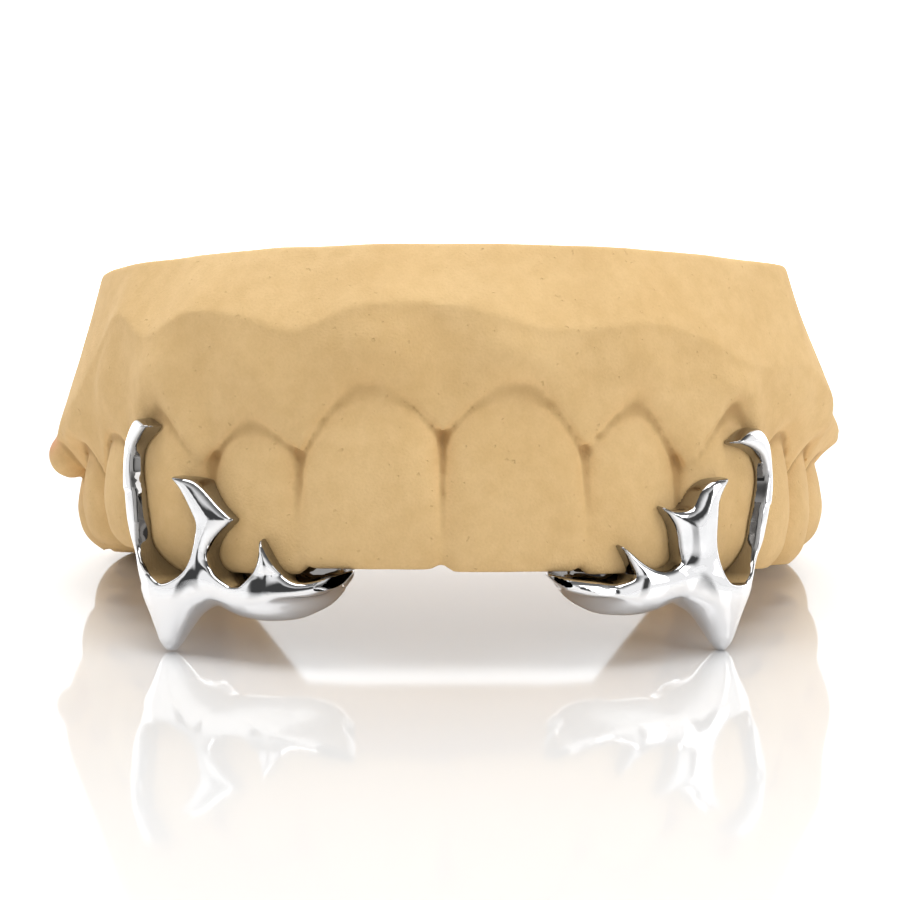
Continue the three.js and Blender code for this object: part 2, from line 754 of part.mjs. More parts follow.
function fang(side) {
  const shift = side < 0 ? fangShift.left : fangShift.right;
  const spot = (row, out = 0) =>
    onCap(side, (row.turn + shift) * capSweep, row.out * fangOut + out, -row.down * fangDrop);
  const rings = fangRows.map((row) => {
    const forward = spot(row, 1).sub(spot(row));
    const across = new THREE.Vector3(-forward.y, forward.x, 0).multiplyScalar(row.wide * fangWide);
    return oval(spot(row), across, forward.multiplyScalar(row.deep * fangWide), 2.1, 16);
  });
  const tip = spot({ ...fangRows[fangRows.length - 1], down: 1 });
  return solid(loft(rings.reverse(), tip, spot(fangRows[0])));
}

// One cap: a front cut to the flame, a shell behind the teeth, and the bar and fang below.
function fangCap(side, flame) {
  const near = teeth.filter((row) => row.side === side).slice(0, 4);
  const [lateral, canine] = near.slice(1, 3);
  const skin = (row, grown) => solid(tooth(row, grown, 22));
  const pair = (grown) => skin(canine, grown).add(skin(lateral, grown));
  const up = new THREE.Vector3(0, 0, 1);
  const down = new THREE.Vector3(0, 0, -1);
  const whole = bar(side);
  const low = whole.add(fang(side));
  const front = pair(fitGap + capWall)
    .add(low)
    .intersect(wrapped(side, filled(flame, hookRise, 3), capCore, capReach))
    .subtract(block(down, new THREE.Vector3(0, 0, lowJoin - lowLap)));
  const under = low.subtract(block(up, new THREE.Vector3(0, 0, lowJoin)));
  const shell = pair(fitGap + lingualWall)
    .add(whole)
    .intersect(wrapped(side, filled(shellRows, lingualRise, 6), lingualReach, capCore + shellLap));
  let made = front.add(shell).add(under);
  for (const row of near) made = made.subtract(skin(row, fitGap));
  return made.subtract(solid(jaw(fitGap)));
}

const jawGroup = new THREE.Group();
const stone = { color: 0xdcb77c, roughness: 0.85, metalness: 0 };
const silver = { color: 0xdfe0e3, roughness: 0.08, metalness: 1 };
const pieces = [
  ["stone_cast", stoneCast(), stone],
  ["fang_cap_left", fangCap(-1, leftFlame), silver],
  ["fang_cap_right", fangCap(1, rightFlame), silver],
];
for (const [name, made, look] of pieces) {
  const largest = made.decompose().sort((a, b) => b.volume() - a.volume())[0];
  jawGroup.add(meshOf(name, largest.simplify(tiny), look));
}

// Tipped until the fang tips and the last molars stand on one level.
const lowest = (mesh, from, to) => {
  const points = mesh.geometry.attributes.position;
  let found = new THREE.Vector3(0, 0, Infinity);
  for (let i = 0; i < points.count; i++) {
    const point = new THREE.Vector3().fromBufferAttribute(points, i);
    if (point.y > from && point.y < to && point.z < found.z) found = point;
  }
  return found;
};
const molar = lowest(jawGroup.children[0], 0.8 * backFace, backFace);
const tip = lowest(jawGroup.children[1], 0, 0.3 * backFace);
const restTilt = Math.atan2(molar.z - tip.z, molar.y - tip.y);
jawGroup.rotation.x = -restTilt;

const part = new THREE.Group();
part.name = "fang_caps_on_cast";
part.add(jawGroup);
part.updateMatrixWorld(true);
const bounds = new THREE.Box3().setFromObject(part, true);
jawGroup.position.set(
  -0.5 * (bounds.min.x + bounds.max.x),
  -0.5 * (bounds.min.y + bounds.max.y),
  -bounds.min.z,
);
part.updateMatrixWorld(true);

export default part;
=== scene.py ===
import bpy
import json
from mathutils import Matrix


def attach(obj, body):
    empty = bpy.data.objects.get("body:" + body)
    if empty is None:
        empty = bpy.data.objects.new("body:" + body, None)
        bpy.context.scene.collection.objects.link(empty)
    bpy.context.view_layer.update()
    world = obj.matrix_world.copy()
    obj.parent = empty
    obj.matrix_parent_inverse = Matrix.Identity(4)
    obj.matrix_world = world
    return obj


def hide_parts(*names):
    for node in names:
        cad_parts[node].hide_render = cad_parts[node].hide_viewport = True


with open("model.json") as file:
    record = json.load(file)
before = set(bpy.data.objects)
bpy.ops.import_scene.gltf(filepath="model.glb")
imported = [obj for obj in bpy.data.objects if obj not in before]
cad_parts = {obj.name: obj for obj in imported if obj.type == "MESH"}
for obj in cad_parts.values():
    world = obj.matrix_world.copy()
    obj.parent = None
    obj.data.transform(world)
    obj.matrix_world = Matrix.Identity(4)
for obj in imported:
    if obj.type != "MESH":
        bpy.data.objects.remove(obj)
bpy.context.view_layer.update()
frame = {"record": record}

# A pair of silver fang caps on a dental stone cast. The jaw is drawn in mm in its own
# frame: x to the right, y back from the front teeth, z up from the bite plane. Its two
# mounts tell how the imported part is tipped, and every piece is tipped the same way.
import json
import math

import bmesh
import bpy
import numpy as np
from mathutils import Vector

mm = 0.001

jaw = {
    "halfWidth": 29,        # midline to the cheek face of the last molars
    "depth": 46,            # front teeth to the end of the last molars
    "backFace": 45,         # trimmed back face
    "overrun": 1.25,        # how far the arch is drawn before the back is cut, in depths
    "baseTop": 20,          # bite plane to the flat top
    "palateTop": 14.4,      # bite plane to the roof of the palate
    "ridgeFlare": 1.45,     # how far the fold stands out from the teeth
    "ridgeReach": 44,       # midline to the last row of the fold table
    "topInset": 3.2,        # edge of the flat top, in from the teeth
    "rootSwell": 0.55,      # swelling of the gum over a root
    "crownTall": 10.9,      # bite plane to the gum over a front tooth
    "crownThick": 11.4,     # front to back of the thickest molar
    "midPapilla": 0.75,     # gum between the front teeth, share of the tall crown
    "contactOverlap": 0.3,  # neighbouring teeth run into each other
    "widest": 0.42,         # where a tooth is widest, share of its thickness
    "sideSquare": 2.6,
    "backSquare": 2.1,
    "mountBack": 26,        # the base_top mount, from the front teeth
}

# Left, right and depth shares of the tooth faces in plan
archRows = [
    (0.147, 0.147, 0.0), (0.293, 0.293, 0.026), (0.393, 0.396, 0.047), (0.497, 0.505, 0.09),
    (0.614, 0.632, 0.145), (0.712, 0.735, 0.226), (0.787, 0.808, 0.302), (0.848, 0.864, 0.376),
    (0.895, 0.908, 0.448), (0.925, 0.947, 0.522), (0.963, 0.994, 0.63), (0.982, 1.014, 0.743),
    (0.982, 1.014, 0.848), (0.97, 0.996, 1.0), (0.965, 0.965, jaw["overrun"]),
]

# Crown sections: rise, width, front and back shares
incisorRows = [
    (0.0, 0.79, 0.12, 0.32), (0.035, 0.91, 0.075, 0.37), (0.1, 0.975, 0.055, 0.42),
    (0.2, 1.0, 0.035, 0.5), (0.38, 0.985, 0.01, 0.62), (0.62, 0.94, 0.01, 0.82),
    (0.85, 0.88, 0.05, 0.98), (1.02, 0.78, 0.11, 1.0), (1.25, 0.66, 0.2, 0.96),
]
canineRows = [
    (0.0, 0.34, 0.2, 0.44), (0.06, 0.6, 0.14, 0.5), (0.17, 0.88, 0.07, 0.6),
    (0.32, 1.0, 0.02, 0.76), (0.55, 1.0, -0.01, 0.93), (0.8, 0.94, 0.01, 1.0),
    (1.0, 0.84, 0.06, 1.0), (1.25, 0.66, 0.18, 0.94),
]
premolarRows = [
    (0.0, 0.62, 0.19, 0.81), (0.1, 0.86, 0.09, 0.91), (0.3, 1.0, 0.02, 0.98),
    (0.65, 0.95, 0.01, 1.0), (1.0, 0.78, 0.07, 0.96), (1.3, 0.68, 0.13, 0.9),
]
molarRows = [
    (0.0, 0.76, 0.17, 0.85), (0.12, 0.92, 0.07, 0.94), (0.35, 1.0, 0.0, 1.0),
    (0.7, 0.95, 0.01, 0.99), (1.0, 0.84, 0.06, 0.93), (1.35, 0.74, 0.12, 0.86),
]

# Name, room on the arch, thickness, then left and right edge, neck and papilla heights,
# the crown table, how square its section and the gum over it are, set, cusp depth, cusps
toothRows = [
    ("central", 0.145, 0.625, (-0.01, -0.025), (1, 1), (0.64, 0.67),
     incisorRows, 3.0, 1.8, 0, 0, 2),
    ("lateral", 0.12, 0.545, (-0.045, -0.045), (0.825, 0.925), (0.595, 0.57),
     incisorRows, 2.6, 1.3, 0.03, 0, 2),
    ("canine", 0.133, 0.71, (-0.09, -0.09), (0.915, 0.925), (0.515, 0.515),
     canineRows, 2.9, 1.1, 0, 0, 2),
    ("premolar1", 0.1165, 0.81, (0.045, -0.09), (0.79, 0.79), (0.495, 0.495),
     premolarRows, 2.5, 1.7, 0.01, 0.13, 2),
    ("premolar2", 0.11, 0.79, (0.045, -0.085), (0.725, 0.725), (0.475, 0.475),
     premolarRows, 2.5, 1.7, 0.01, 0.125, 2),
    ("molar1", 0.168, 1, (-0.01, -0.01), (0.67, 0.67), (0.47, 0.47),
     molarRows, 3.0, 2.0, 0.01, 0.14, 4),
    ("molar2", 0.152, 0.98, (-0.06, -0.06), (0.635, 0.635), (0.515, 0.515),
     molarRows, 2.9, 2.0, 0.01, 0.13, 4),
]

# The fold over the gum: place along the arch, height, stand-out, inset of the flat top
ridgeRows = [
    (-1.0, 0.42, 1.0, 1.1), (-0.875, 0.435, 1.1, 0.65), (-0.75, 0.56, 0.6, 0.35),
    (-0.675, 0.69, 0.25, 0.36), (-0.6, 0.81, 0.2, 0.45), (-0.49, 0.72, 0.25, 0.85),
    (-0.39, 0.79, 0.2, 0.9), (-0.295, 0.765, 0.25, 0.92), (-0.205, 0.715, 0.3, 1.0),
    (-0.13, 0.775, 0.2, 1.0), (0.02, 0.785, 0.2, 0.9), (0.137, 0.715, 0.3, 1.0),
    (0.22, 0.72, 0.3, 0.85), (0.305, 0.74, 0.3, 0.8), (0.39, 0.705, 0.3, 0.75),
    (0.47, 0.635, 0.4, 0.7), (0.56, 0.63, 0.45, 0.5), (0.665, 0.64, 1.0, 0.12),
    (0.72, 0.58, 1.35, 0.35), (0.875, 0.49, 0.9, 1.0), (1.0, 0.45, 0.9, 1.25),
]


cast = {
    "voxel": 0.22,          # mm, grid that joins teeth, gum and base into one skin
    "smoothing": 5,         # passes over the joined skin
    "triangles": 180000,
    "toothSteps": 72,
    "gumSteps": 34,         # rows of the gum skin for each tooth
    "creaseWidth": 22,      # passes that measure how deep a crease is
    "fineWidth": 6,
    "creaseBlur": 3,
    "bubble": 1.75,         # cast bubble at the left
    "lip": 0.45,            # gum proud of the teeth
    "papillaSet": 1.3,      # gum between the teeth, behind the arch line
    "roundApex": 0.17,      # roundness of the top of the gum line over a tooth
    "hollow": 0.09,         # how far the gum falls back just under the fold
}


# Jaw geometry

def smoothPath(points, steps):
    # centripetal Catmull-Rom through the points
    p = np.array(points, float)
    p = np.vstack([2 * p[0] - p[1], p, 2 * p[-1] - p[-2]])
    t = np.linspace(0, 1, steps, endpoint=False)[:, None]
    runs = []
    for a, b, c, d in zip(p, p[1:], p[2:], p[3:]):
        ab, bc, cd = (max(math.sqrt(np.linalg.norm(v)), 1e-6) for v in (b - a, c - b, d - c))
        leave = ((b - a) / ab - (c - a) / (ab + bc) + (c - b) / bc) * bc
        arrive = ((c - b) / bc - (d - b) / (bc + cd) + (d - c) / cd) * bc
        square = 3 * (c - b) - 2 * leave - arrive
        cube = 2 * (b - c) + leave + arrive
        runs.append(b + leave * t + square * t**2 + cube * t**3)
    runs.append(p[-2][None])
    return np.vstack(runs)


def eased(place, xs, ys):
    # a table column read smoothly between its rows
    xs, ys = np.array(xs, float), np.array(ys, float)
    slope = np.gradient(ys, xs)
    i = np.clip(np.searchsorted(xs, place) - 1, 0, len(xs) - 2)
    gap = xs[i + 1] - xs[i]
    t = np.clip((place - xs[i]) / gap, 0, 1)
    rise = (2 * t**3 - 3 * t**2 + 1) * ys[i] + (3 * t**2 - 2 * t**3) * ys[i + 1]
    return rise + gap * ((t**3 - 2 * t**2 + t) * slope[i] + (t**3 - t**2) * slope[i + 1])


def mix(a, b, t):
    return a + (b - a) * t


def smoothMin(a, b, soft):
    h = np.maximum(soft - np.abs(a - b), 0) / soft
    return np.minimum(a, b) - h**3 * soft / 6


def smoothMax(a, b, soft):
    return -smoothMin(-a, -b, soft)


leftFaces = [(-left * jaw["halfWidth"], back * jaw["depth"]) for left, right, back in archRows]
rightFaces = [(right * jaw["halfWidth"], back * jaw["depth"]) for left, right, back in archRows]
archLine = smoothPath(leftFaces[::-1] + [(0, 0.25)] + rightFaces, 40)
archMid = len(archRows) * 40
archPlace = np.concatenate([[0], np.cumsum(np.linalg.norm(np.diff(archLine, axis=0), axis=1))])
archPlace -= archPlace[archMid]
archRun = archPlace[archMid + (len(archRows) - 1) * 40]
archAhead = np.gradient(archLine, axis=0)
archAhead /= np.linalg.norm(archAhead, axis=1)[:, None]


def onArch(along, out):
    # plan point of the jaw: along the arch from the midline, out from the tooth faces
    x, y = (np.interp(along, archPlace, archLine[:, k]) for k in (0, 1))
    ax, ay = (np.interp(along, archPlace, archAhead[:, k]) for k in (0, 1))
    size = np.hypot(ax, ay)
    return x + ay / size * out, y - ax / size * out


def layTeeth():
    teeth = []
    for side in (-1, 1):
        near, papilla = 0, jaw["midPapilla"] * jaw["crownTall"]
        for row in toothRows:
            name, room, thick, edge, neck, far = row[:6]
            rows, square, scallop, setBack, cusps, points = row[6:]
            pick = 0 if side < 0 else 1
            wide = room * archRun
            middle = side * (near + wide / 2)
            x, y = onArch(middle, 0)
            ox, oy = onArch(middle, 1)
            teeth.append({
                "name": name, "side": side, "near": near, "far": near + wide, "room": wide,
                "thick": thick * jaw["crownThick"], "set": setBack * jaw["crownThick"],
                "cusps": cusps * jaw["crownThick"], "points": points, "rows": np.array(rows),
                "edge": edge[pick] * jaw["crownTall"], "neck": neck[pick] * jaw["crownTall"],
                "nearPapilla": papilla, "farPapilla": far[pick] * jaw["crownTall"],
                "square": square, "scallop": scallop,
                "base": np.array([x, y]), "outward": np.array([ox - x, oy - y]),
            })
            near += wide
            papilla = far[pick] * jaw["crownTall"]
    return teeth


teeth = layTeeth()


def toothSection(tooth, rise):
    rows = tooth["rows"]
    half = (tooth["room"] + jaw["contactOverlap"]) / 2
    width = half * eased(rise, rows[:, 0], rows[:, 1])
    front = -tooth["set"] - tooth["thick"] * eased(rise, rows[:, 0], rows[:, 2])
    back = -tooth["set"] - tooth["thick"] * eased(rise, rows[:, 0], rows[:, 3])
    return width, front, back


def toothField(tooth, points, grown):
    flat = points[:, :2] - tooth["base"]
    ox, oy = tooth["outward"]
    out = flat @ [ox, oy]
    across = np.abs(flat @ [-oy, ox])
    rise = (points[:, 2] - tooth["edge"]) / (tooth["neck"] - tooth["edge"])
    width, front, back = toothSection(tooth, rise)
    width, front, back = width + grown, front + grown, back - grown
    middle = mix(front, back, jaw["widest"])
    ahead = out > middle
    depth = np.where(ahead, (out - middle) / (front - middle), (middle - out) / (middle - back))
    square = np.where(ahead, tooth["square"], jaw["backSquare"])
    reach = ((across / width) ** jaw["sideSquare"] + depth**square) ** (1 / 2.5)
    side = (reach - 1) * np.minimum(width, (front - back) / 2)
    return smoothMax(side, tooth["edge"] - grown - points[:, 2], 0.6)


def onTooth(tooth, across, out, up):
    ox, oy = tooth["outward"]
    x = tooth["base"][0] - oy * across + ox * out
    y = tooth["base"][1] + ox * across + oy * out
    return np.stack([x, y, np.broadcast_to(up, x.shape)], -1)


def gumAt(along):
    reach = abs(along)
    own = [t for t in teeth if t["side"] == (-1 if along < 0 else 1)]
    tooth = next((t for t in own if reach <= t["far"]), own[-1])
    place = max(-1, min(1, (reach - (tooth["near"] + tooth["far"]) / 2) / (tooth["room"] / 2)))
    papilla = tooth["nearPapilla"] if place < 0 else tooth["farPapilla"]
    least = cast["roundApex"]
    dip = ((math.hypot(place, least) - least) / (math.hypot(1, least) - least)) ** tooth["scallop"]
    return tooth, dip, mix(tooth["neck"], papilla, dip), 0.5 + 0.5 * math.cos(math.pi * place)


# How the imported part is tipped, read from its mounts
mounts = {m["name"]: m for m in frame["record"]["mounts"]}
topMount = mounts["base_top"]
tip = math.atan2(topMount["axis"][1], topMount["axis"][2])
tipping = np.array([[1, 0, 0], [0, math.cos(tip), math.sin(tip)], [0, -math.sin(tip), math.cos(tip)]])
shift = np.array(topMount["pos_m"]) / mm - tipping @ [0, jaw["mountBack"], jaw["baseTop"]]


def standing(points):
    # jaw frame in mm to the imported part's frame in metres
    return (np.asarray(points) @ tipping.T + shift) * mm


def meshObject(name, points, faces):
    mesh = bpy.data.meshes.new(name)
    mesh.from_pydata(points.tolist(), [], faces)
    made = bpy.data.objects.new(name, mesh)
    bpy.context.scene.collection.objects.link(made)
    return made


def shell(rings, first, last):
    # a closed skin over closed rings, both ends closed to a point
    count = len(rings[0])
    points = np.vstack([[first], *rings, [last]])
    i = np.arange(count)
    j = (i + 1) % count
    faces = [(0, int(b) + 1, int(a) + 1) for a, b in zip(i, j)]
    for ring in range(len(rings) - 1):
        low, high = 1 + ring * count, 1 + (ring + 1) * count
        faces += [(int(low + a), int(low + b), int(high + b), int(high + a)) for a, b in zip(i, j)]
    low = 1 + (len(rings) - 1) * count
    faces += [(len(points) - 1, int(low + a), int(low + b)) for a, b in zip(i, j)]
    return points, faces


def baked(made):
    # the object with its modifiers applied, as a plain mesh
    bpy.context.view_layer.update()
    evaluated = made.evaluated_get(bpy.context.evaluated_depsgraph_get())
    mesh = bpy.data.meshes.new_from_object(evaluated)
    made.modifiers.clear()
    old = made.data
    made.data = mesh
    bpy.data.meshes.remove(old)
    return made


# Shader groups

def newGroup(name, inputs, outputs):
    group = bpy.data.node_groups.new(name, "ShaderNodeTree")
    for socket, kind, value in inputs:
        made = group.interface.new_socket(socket, in_out="INPUT", socket_type="NodeSocket" + kind)
        if value is not None:
            made.default_value = value
    for socket, kind in outputs:
        group.interface.new_socket(socket, in_out="OUTPUT", socket_type="NodeSocket" + kind)
    return group, group.nodes.new("NodeGroupInput"), group.nodes.new("NodeGroupOutput")


def noise(tree, vector, size, detail, seed=0):
    # noise whose lumps are about the given size in mm
    node = tree.nodes.new("ShaderNodeTexNoise")
    node.noise_dimensions = "4D"
    node.inputs["W"].default_value = seed
    node.inputs["Scale"].default_value = 1 / (size * mm)
    node.inputs["Detail"].default_value = detail
    tree.links.new(vector, node.inputs["Vector"])
    return node.outputs["Fac"]


def ranged(tree, value, low, high, start=0.0, end=1.0):
    node = tree.nodes.new("ShaderNodeMapRange")
    node.interpolation_type = "SMOOTHSTEP"
    for socket, number in (("From Min", low), ("From Max", high), ("To Min", start), ("To Max", end)):
        node.inputs[socket].default_value = number
    tree.links.new(value, node.inputs["Value"])
    return node.outputs["Result"]


def worked(tree, operation, a, b):
    node = tree.nodes.new("ShaderNodeMath")
    node.operation = operation
    for socket, value in zip(node.inputs, (a, b)):
        if isinstance(value, (int, float)):
            socket.default_value = value
        else:
            tree.links.new(value, socket)
    return node.outputs[0]


def coloured(tree, factor, a, b):
    node = tree.nodes.new("ShaderNodeMix")
    node.data_type = "RGBA"
    tree.links.new(factor, node.inputs["Factor"])
    for socket, value in ((node.inputs["A"], a), (node.inputs["B"], b)):
        if isinstance(value, tuple):
            socket.default_value = value
        else:
            tree.links.new(value, socket)
    return node.outputs["Result"]


def speckGroup():
    # fine grain and scattered pits, as a height and a mask
    group, start, end = newGroup("fine grain", [
        ("Vector", "Vector", None), ("Grain", "Float", 0.3), ("Pits", "Float", 0.5)],
        [("Height", "Float"), ("Pit Mask", "Float")])
    fine = noise(group, start.outputs["Vector"], 0.16, 3, 1)
    broad = noise(group, start.outputs["Vector"], 0.9, 2, 2)
    spots = noise(group, start.outputs["Vector"], 0.42, 1, 3)
    pits = ranged(group, spots, 0.71, 0.78)
    both = worked(group, "MULTIPLY_ADD", broad, 0.6)
    group.links.new(fine, both.node.inputs[2])
    grain = worked(group, "MULTIPLY", both, start.outputs["Grain"])
    mask = worked(group, "MULTIPLY", pits, start.outputs["Pits"])
    group.links.new(worked(group, "SUBTRACT", grain, mask), end.inputs["Height"])
    group.links.new(mask, end.inputs["Pit Mask"])
    return group


def toneGroup():
    # broad clouds over finer ones, as one mask
    group, start, end = newGroup("clouded tone", [
        ("Vector", "Vector", None), ("Contrast", "Float", 1.0)], [("Mask", "Float")])
    broad = ranged(group, noise(group, start.outputs["Vector"], 7, 3, 4), 0.3, 0.7)
    fine = ranged(group, noise(group, start.outputs["Vector"], 1.1, 4, 5), 0.3, 0.7)
    broad = worked(group, "MULTIPLY", broad, 0.6)
    fine = worked(group, "MULTIPLY", fine, 0.4)
    both = worked(group, "ADD", broad, fine)
    group.links.new(worked(group, "MULTIPLY", both, start.outputs["Contrast"]), end.inputs["Mask"])
    return group


grainGroup = speckGroup()
cloudGroup = toneGroup()


def grouped(tree, group, **values):
    node = tree.nodes.new("ShaderNodeGroup")
    node.node_tree = group
    for socket, value in values.items():
        if isinstance(value, (int, float)):
            node.inputs[socket].default_value = value
        else:
            tree.links.new(value, node.inputs[socket])
    return node


def startMaterial(name):
    material = bpy.data.materials.new(name)
    material.use_nodes = True
    tree = material.node_tree
    tree.nodes.clear()
    shader = tree.nodes.new("ShaderNodeBsdfPrincipled")
    end = tree.nodes.new("ShaderNodeOutputMaterial")
    tree.links.new(shader.outputs["BSDF"], end.inputs["Surface"])
    place = tree.nodes.new("ShaderNodeTexCoord").outputs["Object"]
    return material, tree, shader, place


def bumped(tree, shader, height, distance, strength):
    bump = tree.nodes.new("ShaderNodeBump")
    bump.inputs["Strength"].default_value = strength
    bump.inputs["Distance"].default_value = distance * mm
    tree.links.new(height, bump.inputs["Height"])
    tree.links.new(bump.outputs["Normal"], shader.inputs["Normal"])


# The stone cast

stoneLook = {
    "light": (0.87, 0.60, 0.285, 1),
    "dark": (0.76, 0.50, 0.215, 1),
    # painted shade: the crease colour darkens the stone in its creases, where shade falls; it also tints
    # the low spots of the grain
    "crease": (0.42, 0.23, 0.075, 1),
    "wax": (0.80, 0.40, 0.22, 1),   # pinkish tip of the cast bubble
    "roughness": 0.78,
    "grain": 0.26,                  # mm
    "speck": 0.08,                  # darker low spots of the grain
}


def stoneMaterial():
    material, tree, shader, place = startMaterial("dental stone")
    grain = grouped(tree, grainGroup, Vector=place)
    cloud = grouped(tree, cloudGroup, Vector=place)
    marks = {}
    for name in ("crease", "fineCreaseShade", "bubbleTip"):
        marks[name] = tree.nodes.new("ShaderNodeAttribute")
        marks[name].attribute_name = name
    colour = coloured(tree, cloud.outputs["Mask"], stoneLook["dark"], stoneLook["light"])
    # painted shade: the broad and the fine crease depths pull the stone towards the crease colour
    broad = ranged(tree, marks["crease"].outputs["Fac"], 0.03, 0.4, 0, 0.5)
    fine = ranged(tree, marks["fineCreaseShade"].outputs["Fac"], 0.006, 0.06, 0, 0.62)
    speck = ranged(tree, grain.outputs["Height"], 0.17, 0.3, stoneLook["speck"], 0)
    colour = coloured(tree, speck, colour, stoneLook["crease"])
    colour = coloured(tree, broad, colour, stoneLook["crease"])
    colour = coloured(tree, fine, colour, stoneLook["crease"])
    colour = coloured(tree, grain.outputs["Pit Mask"], colour, stoneLook["dark"])
    colour = coloured(tree, marks["bubbleTip"].outputs["Fac"], colour, stoneLook["wax"])
    tree.links.new(colour, shader.inputs["Base Color"])
    shader.inputs["Roughness"].default_value = stoneLook["roughness"]
    bumped(tree, shader, grain.outputs["Height"], stoneLook["grain"], 0.6)
    return material


def toothShell(tooth):
    rows = tooth["rows"]
    height = tooth["neck"] - tooth["edge"]
    turn = np.linspace(0, 2 * math.pi, cast["toothSteps"], endpoint=False)
    c, s = np.cos(turn), np.sin(turn)
    rings = []
    for rise in np.linspace(0, 1, 34) ** 1.4 * rows[-1, 0]:
        width, front, back = toothSection(tooth, rise)
        if rise > 0.9:
            front, back = toothSection(tooth, 0.9)[1:]
        middle = mix(front, back, jaw["widest"])
        across = width * np.sign(c) * np.abs(c) ** (2 / jaw["sideSquare"])
        ahead = (front - middle) * np.abs(s) ** (2 / tooth["square"])
        behind = (back - middle) * np.abs(s) ** (2 / jaw["backSquare"])
        out = middle + np.where(s > 0, ahead, behind)
        rings.append(onTooth(tooth, across, out, tooth["edge"] + rise * height))
    rim = rings[0]
    centre = rim.mean(axis=0)
    floorRings = []
    for share in (0.2, 0.35, 0.5, 0.62, 0.74, 0.86):
        ring = mix(centre, rim, share)
        hump = np.exp(-((share - 0.74) / 0.3) ** 2) * (0.55 + 0.45 * np.cos(tooth["points"] * turn))
        ring[:, 2] = tooth["edge"] + tooth["cusps"] * (0.62 - 0.6 * hump)
        floorRings.append(ring)
    rim[:, 2] += 0.25 * tooth["cusps"] * (1 - 0.45 * np.cos(tooth["points"] * turn))
    centre[2] = tooth["edge"] + 0.7 * tooth["cusps"]
    top = rings[-1].mean(axis=0)
    return shell(floorRings + rings, centre, top)


def throughRows(rows, steps):
    # smooth run through a few rows of points at once, ends included
    rows = np.concatenate([2 * rows[:1] - rows[1:2], rows, 2 * rows[-1:] - rows[-2:-1]])
    runs = []
    for a, b, c, d in zip(rows, rows[1:], rows[2:], rows[3:]):
        square, cube = 2 * a - 5 * b + 4 * c - d, 3 * (b - c) + d - a
        for t in np.linspace(0, 1, steps, endpoint=False):
            runs.append(b + 0.5 * t * (c - a + t * (square + t * cube)))
    runs.append(rows[-2])
    return runs


def lipAt(along, height):
    # how far out the edge of the gum lies, just proud of the teeth at that height
    out = np.linspace(-cast["papillaSet"], 1.4, 80)
    x, y = onArch(np.full(80, along), out)
    points = np.stack([x, y, np.full(80, height)], -1)
    near = [t for t in teeth if np.hypot(*(t["base"] - [x[0], y[0]])) < jaw["crownThick"]]
    away = np.min([toothField(t, points, 0) for t in near] or [out + 9], axis=0)
    return max(out[away < cast["lip"]], default=out[0])


def gumShell():
    places = []
    for tooth in [t for t in teeth if t["side"] > 0]:
        places += list(np.linspace(tooth["near"], tooth["far"], cast["gumSteps"], endpoint=False))
    places += [places[-1] + step for step in (2, 4, 6, 8, 11)]
    stations = np.array([-p for p in places[:0:-1]] + places)
    ridge = np.array(ridgeRows)
    share = stations / jaw["ridgeReach"]
    rise, flare, inset = (eased(share, ridge[:, 0], ridge[:, k]) for k in (1, 2, 3))
    rise, flare, inset = rise * jaw["baseTop"], flare * jaw["ridgeFlare"], inset * jaw["topInset"]
    gums = [gumAt(along) for along in stations]
    thick = np.array([g[0]["thick"] for g in gums])
    behind = np.array([-g[0]["set"] - g[0]["thick"] for g in gums])
    tongue = np.array([mix(g[2], g[0]["farPapilla"], 0.45) for g in gums])
    dip, neck, root = (np.array([g[k] for g in gums]) for k in (1, 2, 3))

    def blurred(values, reach):
        width = 2 * reach + 1
        return np.convolve(np.pad(values, reach, "edge"), np.ones(width) / width, "valid")

    thick, behind, tongue = (blurred(v, 6) for v in (thick, behind, tongue))
    margin = blurred(np.array([lipAt(*pair) for pair in zip(stations, neck)]), 2)
    softMargin, softNeck = (blurred(blurred(v, 5), 5) for v in (margin, neck))
    top = np.full(len(stations), float(jaw["baseTop"]))
    roof = np.full(len(stations), float(jaw["palateTop"]))
    rows = np.array([
        [-inset, top],
        [mix(flare, -inset, 0.12), mix(rise, top, 0.14)],
        [flare, rise],
        [flare - cast["hollow"], rise - 2 * cast["hollow"]],
        [mix(softMargin, flare, 0.55) + jaw["rootSwell"] * root, mix(softNeck, rise, 0.5)],
        [margin, neck],
        [margin - 0.3 * thick, neck + 0.8],
        [behind + 0.6, tongue],
        [behind - 2.2, mix(neck, roof, 0.5)],
        [behind - 4.8, roof - 0.5],
    ]).transpose(0, 2, 1)
    section = throughRows(rows[:3], 5)[:-1] + throughRows(rows[2:6], 6)[:-1]
    section += throughRows(rows[5:7], 3)[:-1] + throughRows(rows[6:8], 3)[:-1]
    section += throughRows(rows[7:10], 6)
    rings = []
    for row in section:
        x, y = onArch(stations, row[:, 0])
        ring = np.stack([x, y, row[:, 1]], -1)
        bridge = [mix(ring[-1], ring[0], k / 8) for k in range(1, 8)]
        rings.append(np.vstack([ring, bridge]))
    middle = np.array([0, 0.6 * jaw["backFace"], 0])
    roofRings = []
    for k in (0.25, 0.5, 0.75):
        ring = mix(rings[-1], middle, k)
        ring[:, 2] = jaw["palateTop"] - 0.5 * (1 - k) ** 2
        roofRings.append(ring)
    first = middle + [0, 0, jaw["baseTop"]]
    last = middle + [0, 0, jaw["palateTop"]]
    return shell(rings + roofRings, first, last)


def relaxed(points, edges, passes):
    # every point moved to the middle of its neighbours, again and again
    ends = np.concatenate([edges[:, 0], edges[:, 1]])
    others = np.concatenate([edges[:, 1], edges[:, 0]])
    count = np.maximum(np.bincount(ends, minlength=len(points)), 1)
    for _ in range(passes):
        columns = [np.bincount(ends, column[others], len(points)) / count for column in points.T]
        points = np.stack(columns, -1)
    return points


def bubbleSpot():
    x, y = onArch(-0.93 * jaw["ridgeReach"], 0.25 * cast["bubble"])
    return np.array([x, y, 0.36 * jaw["baseTop"]])


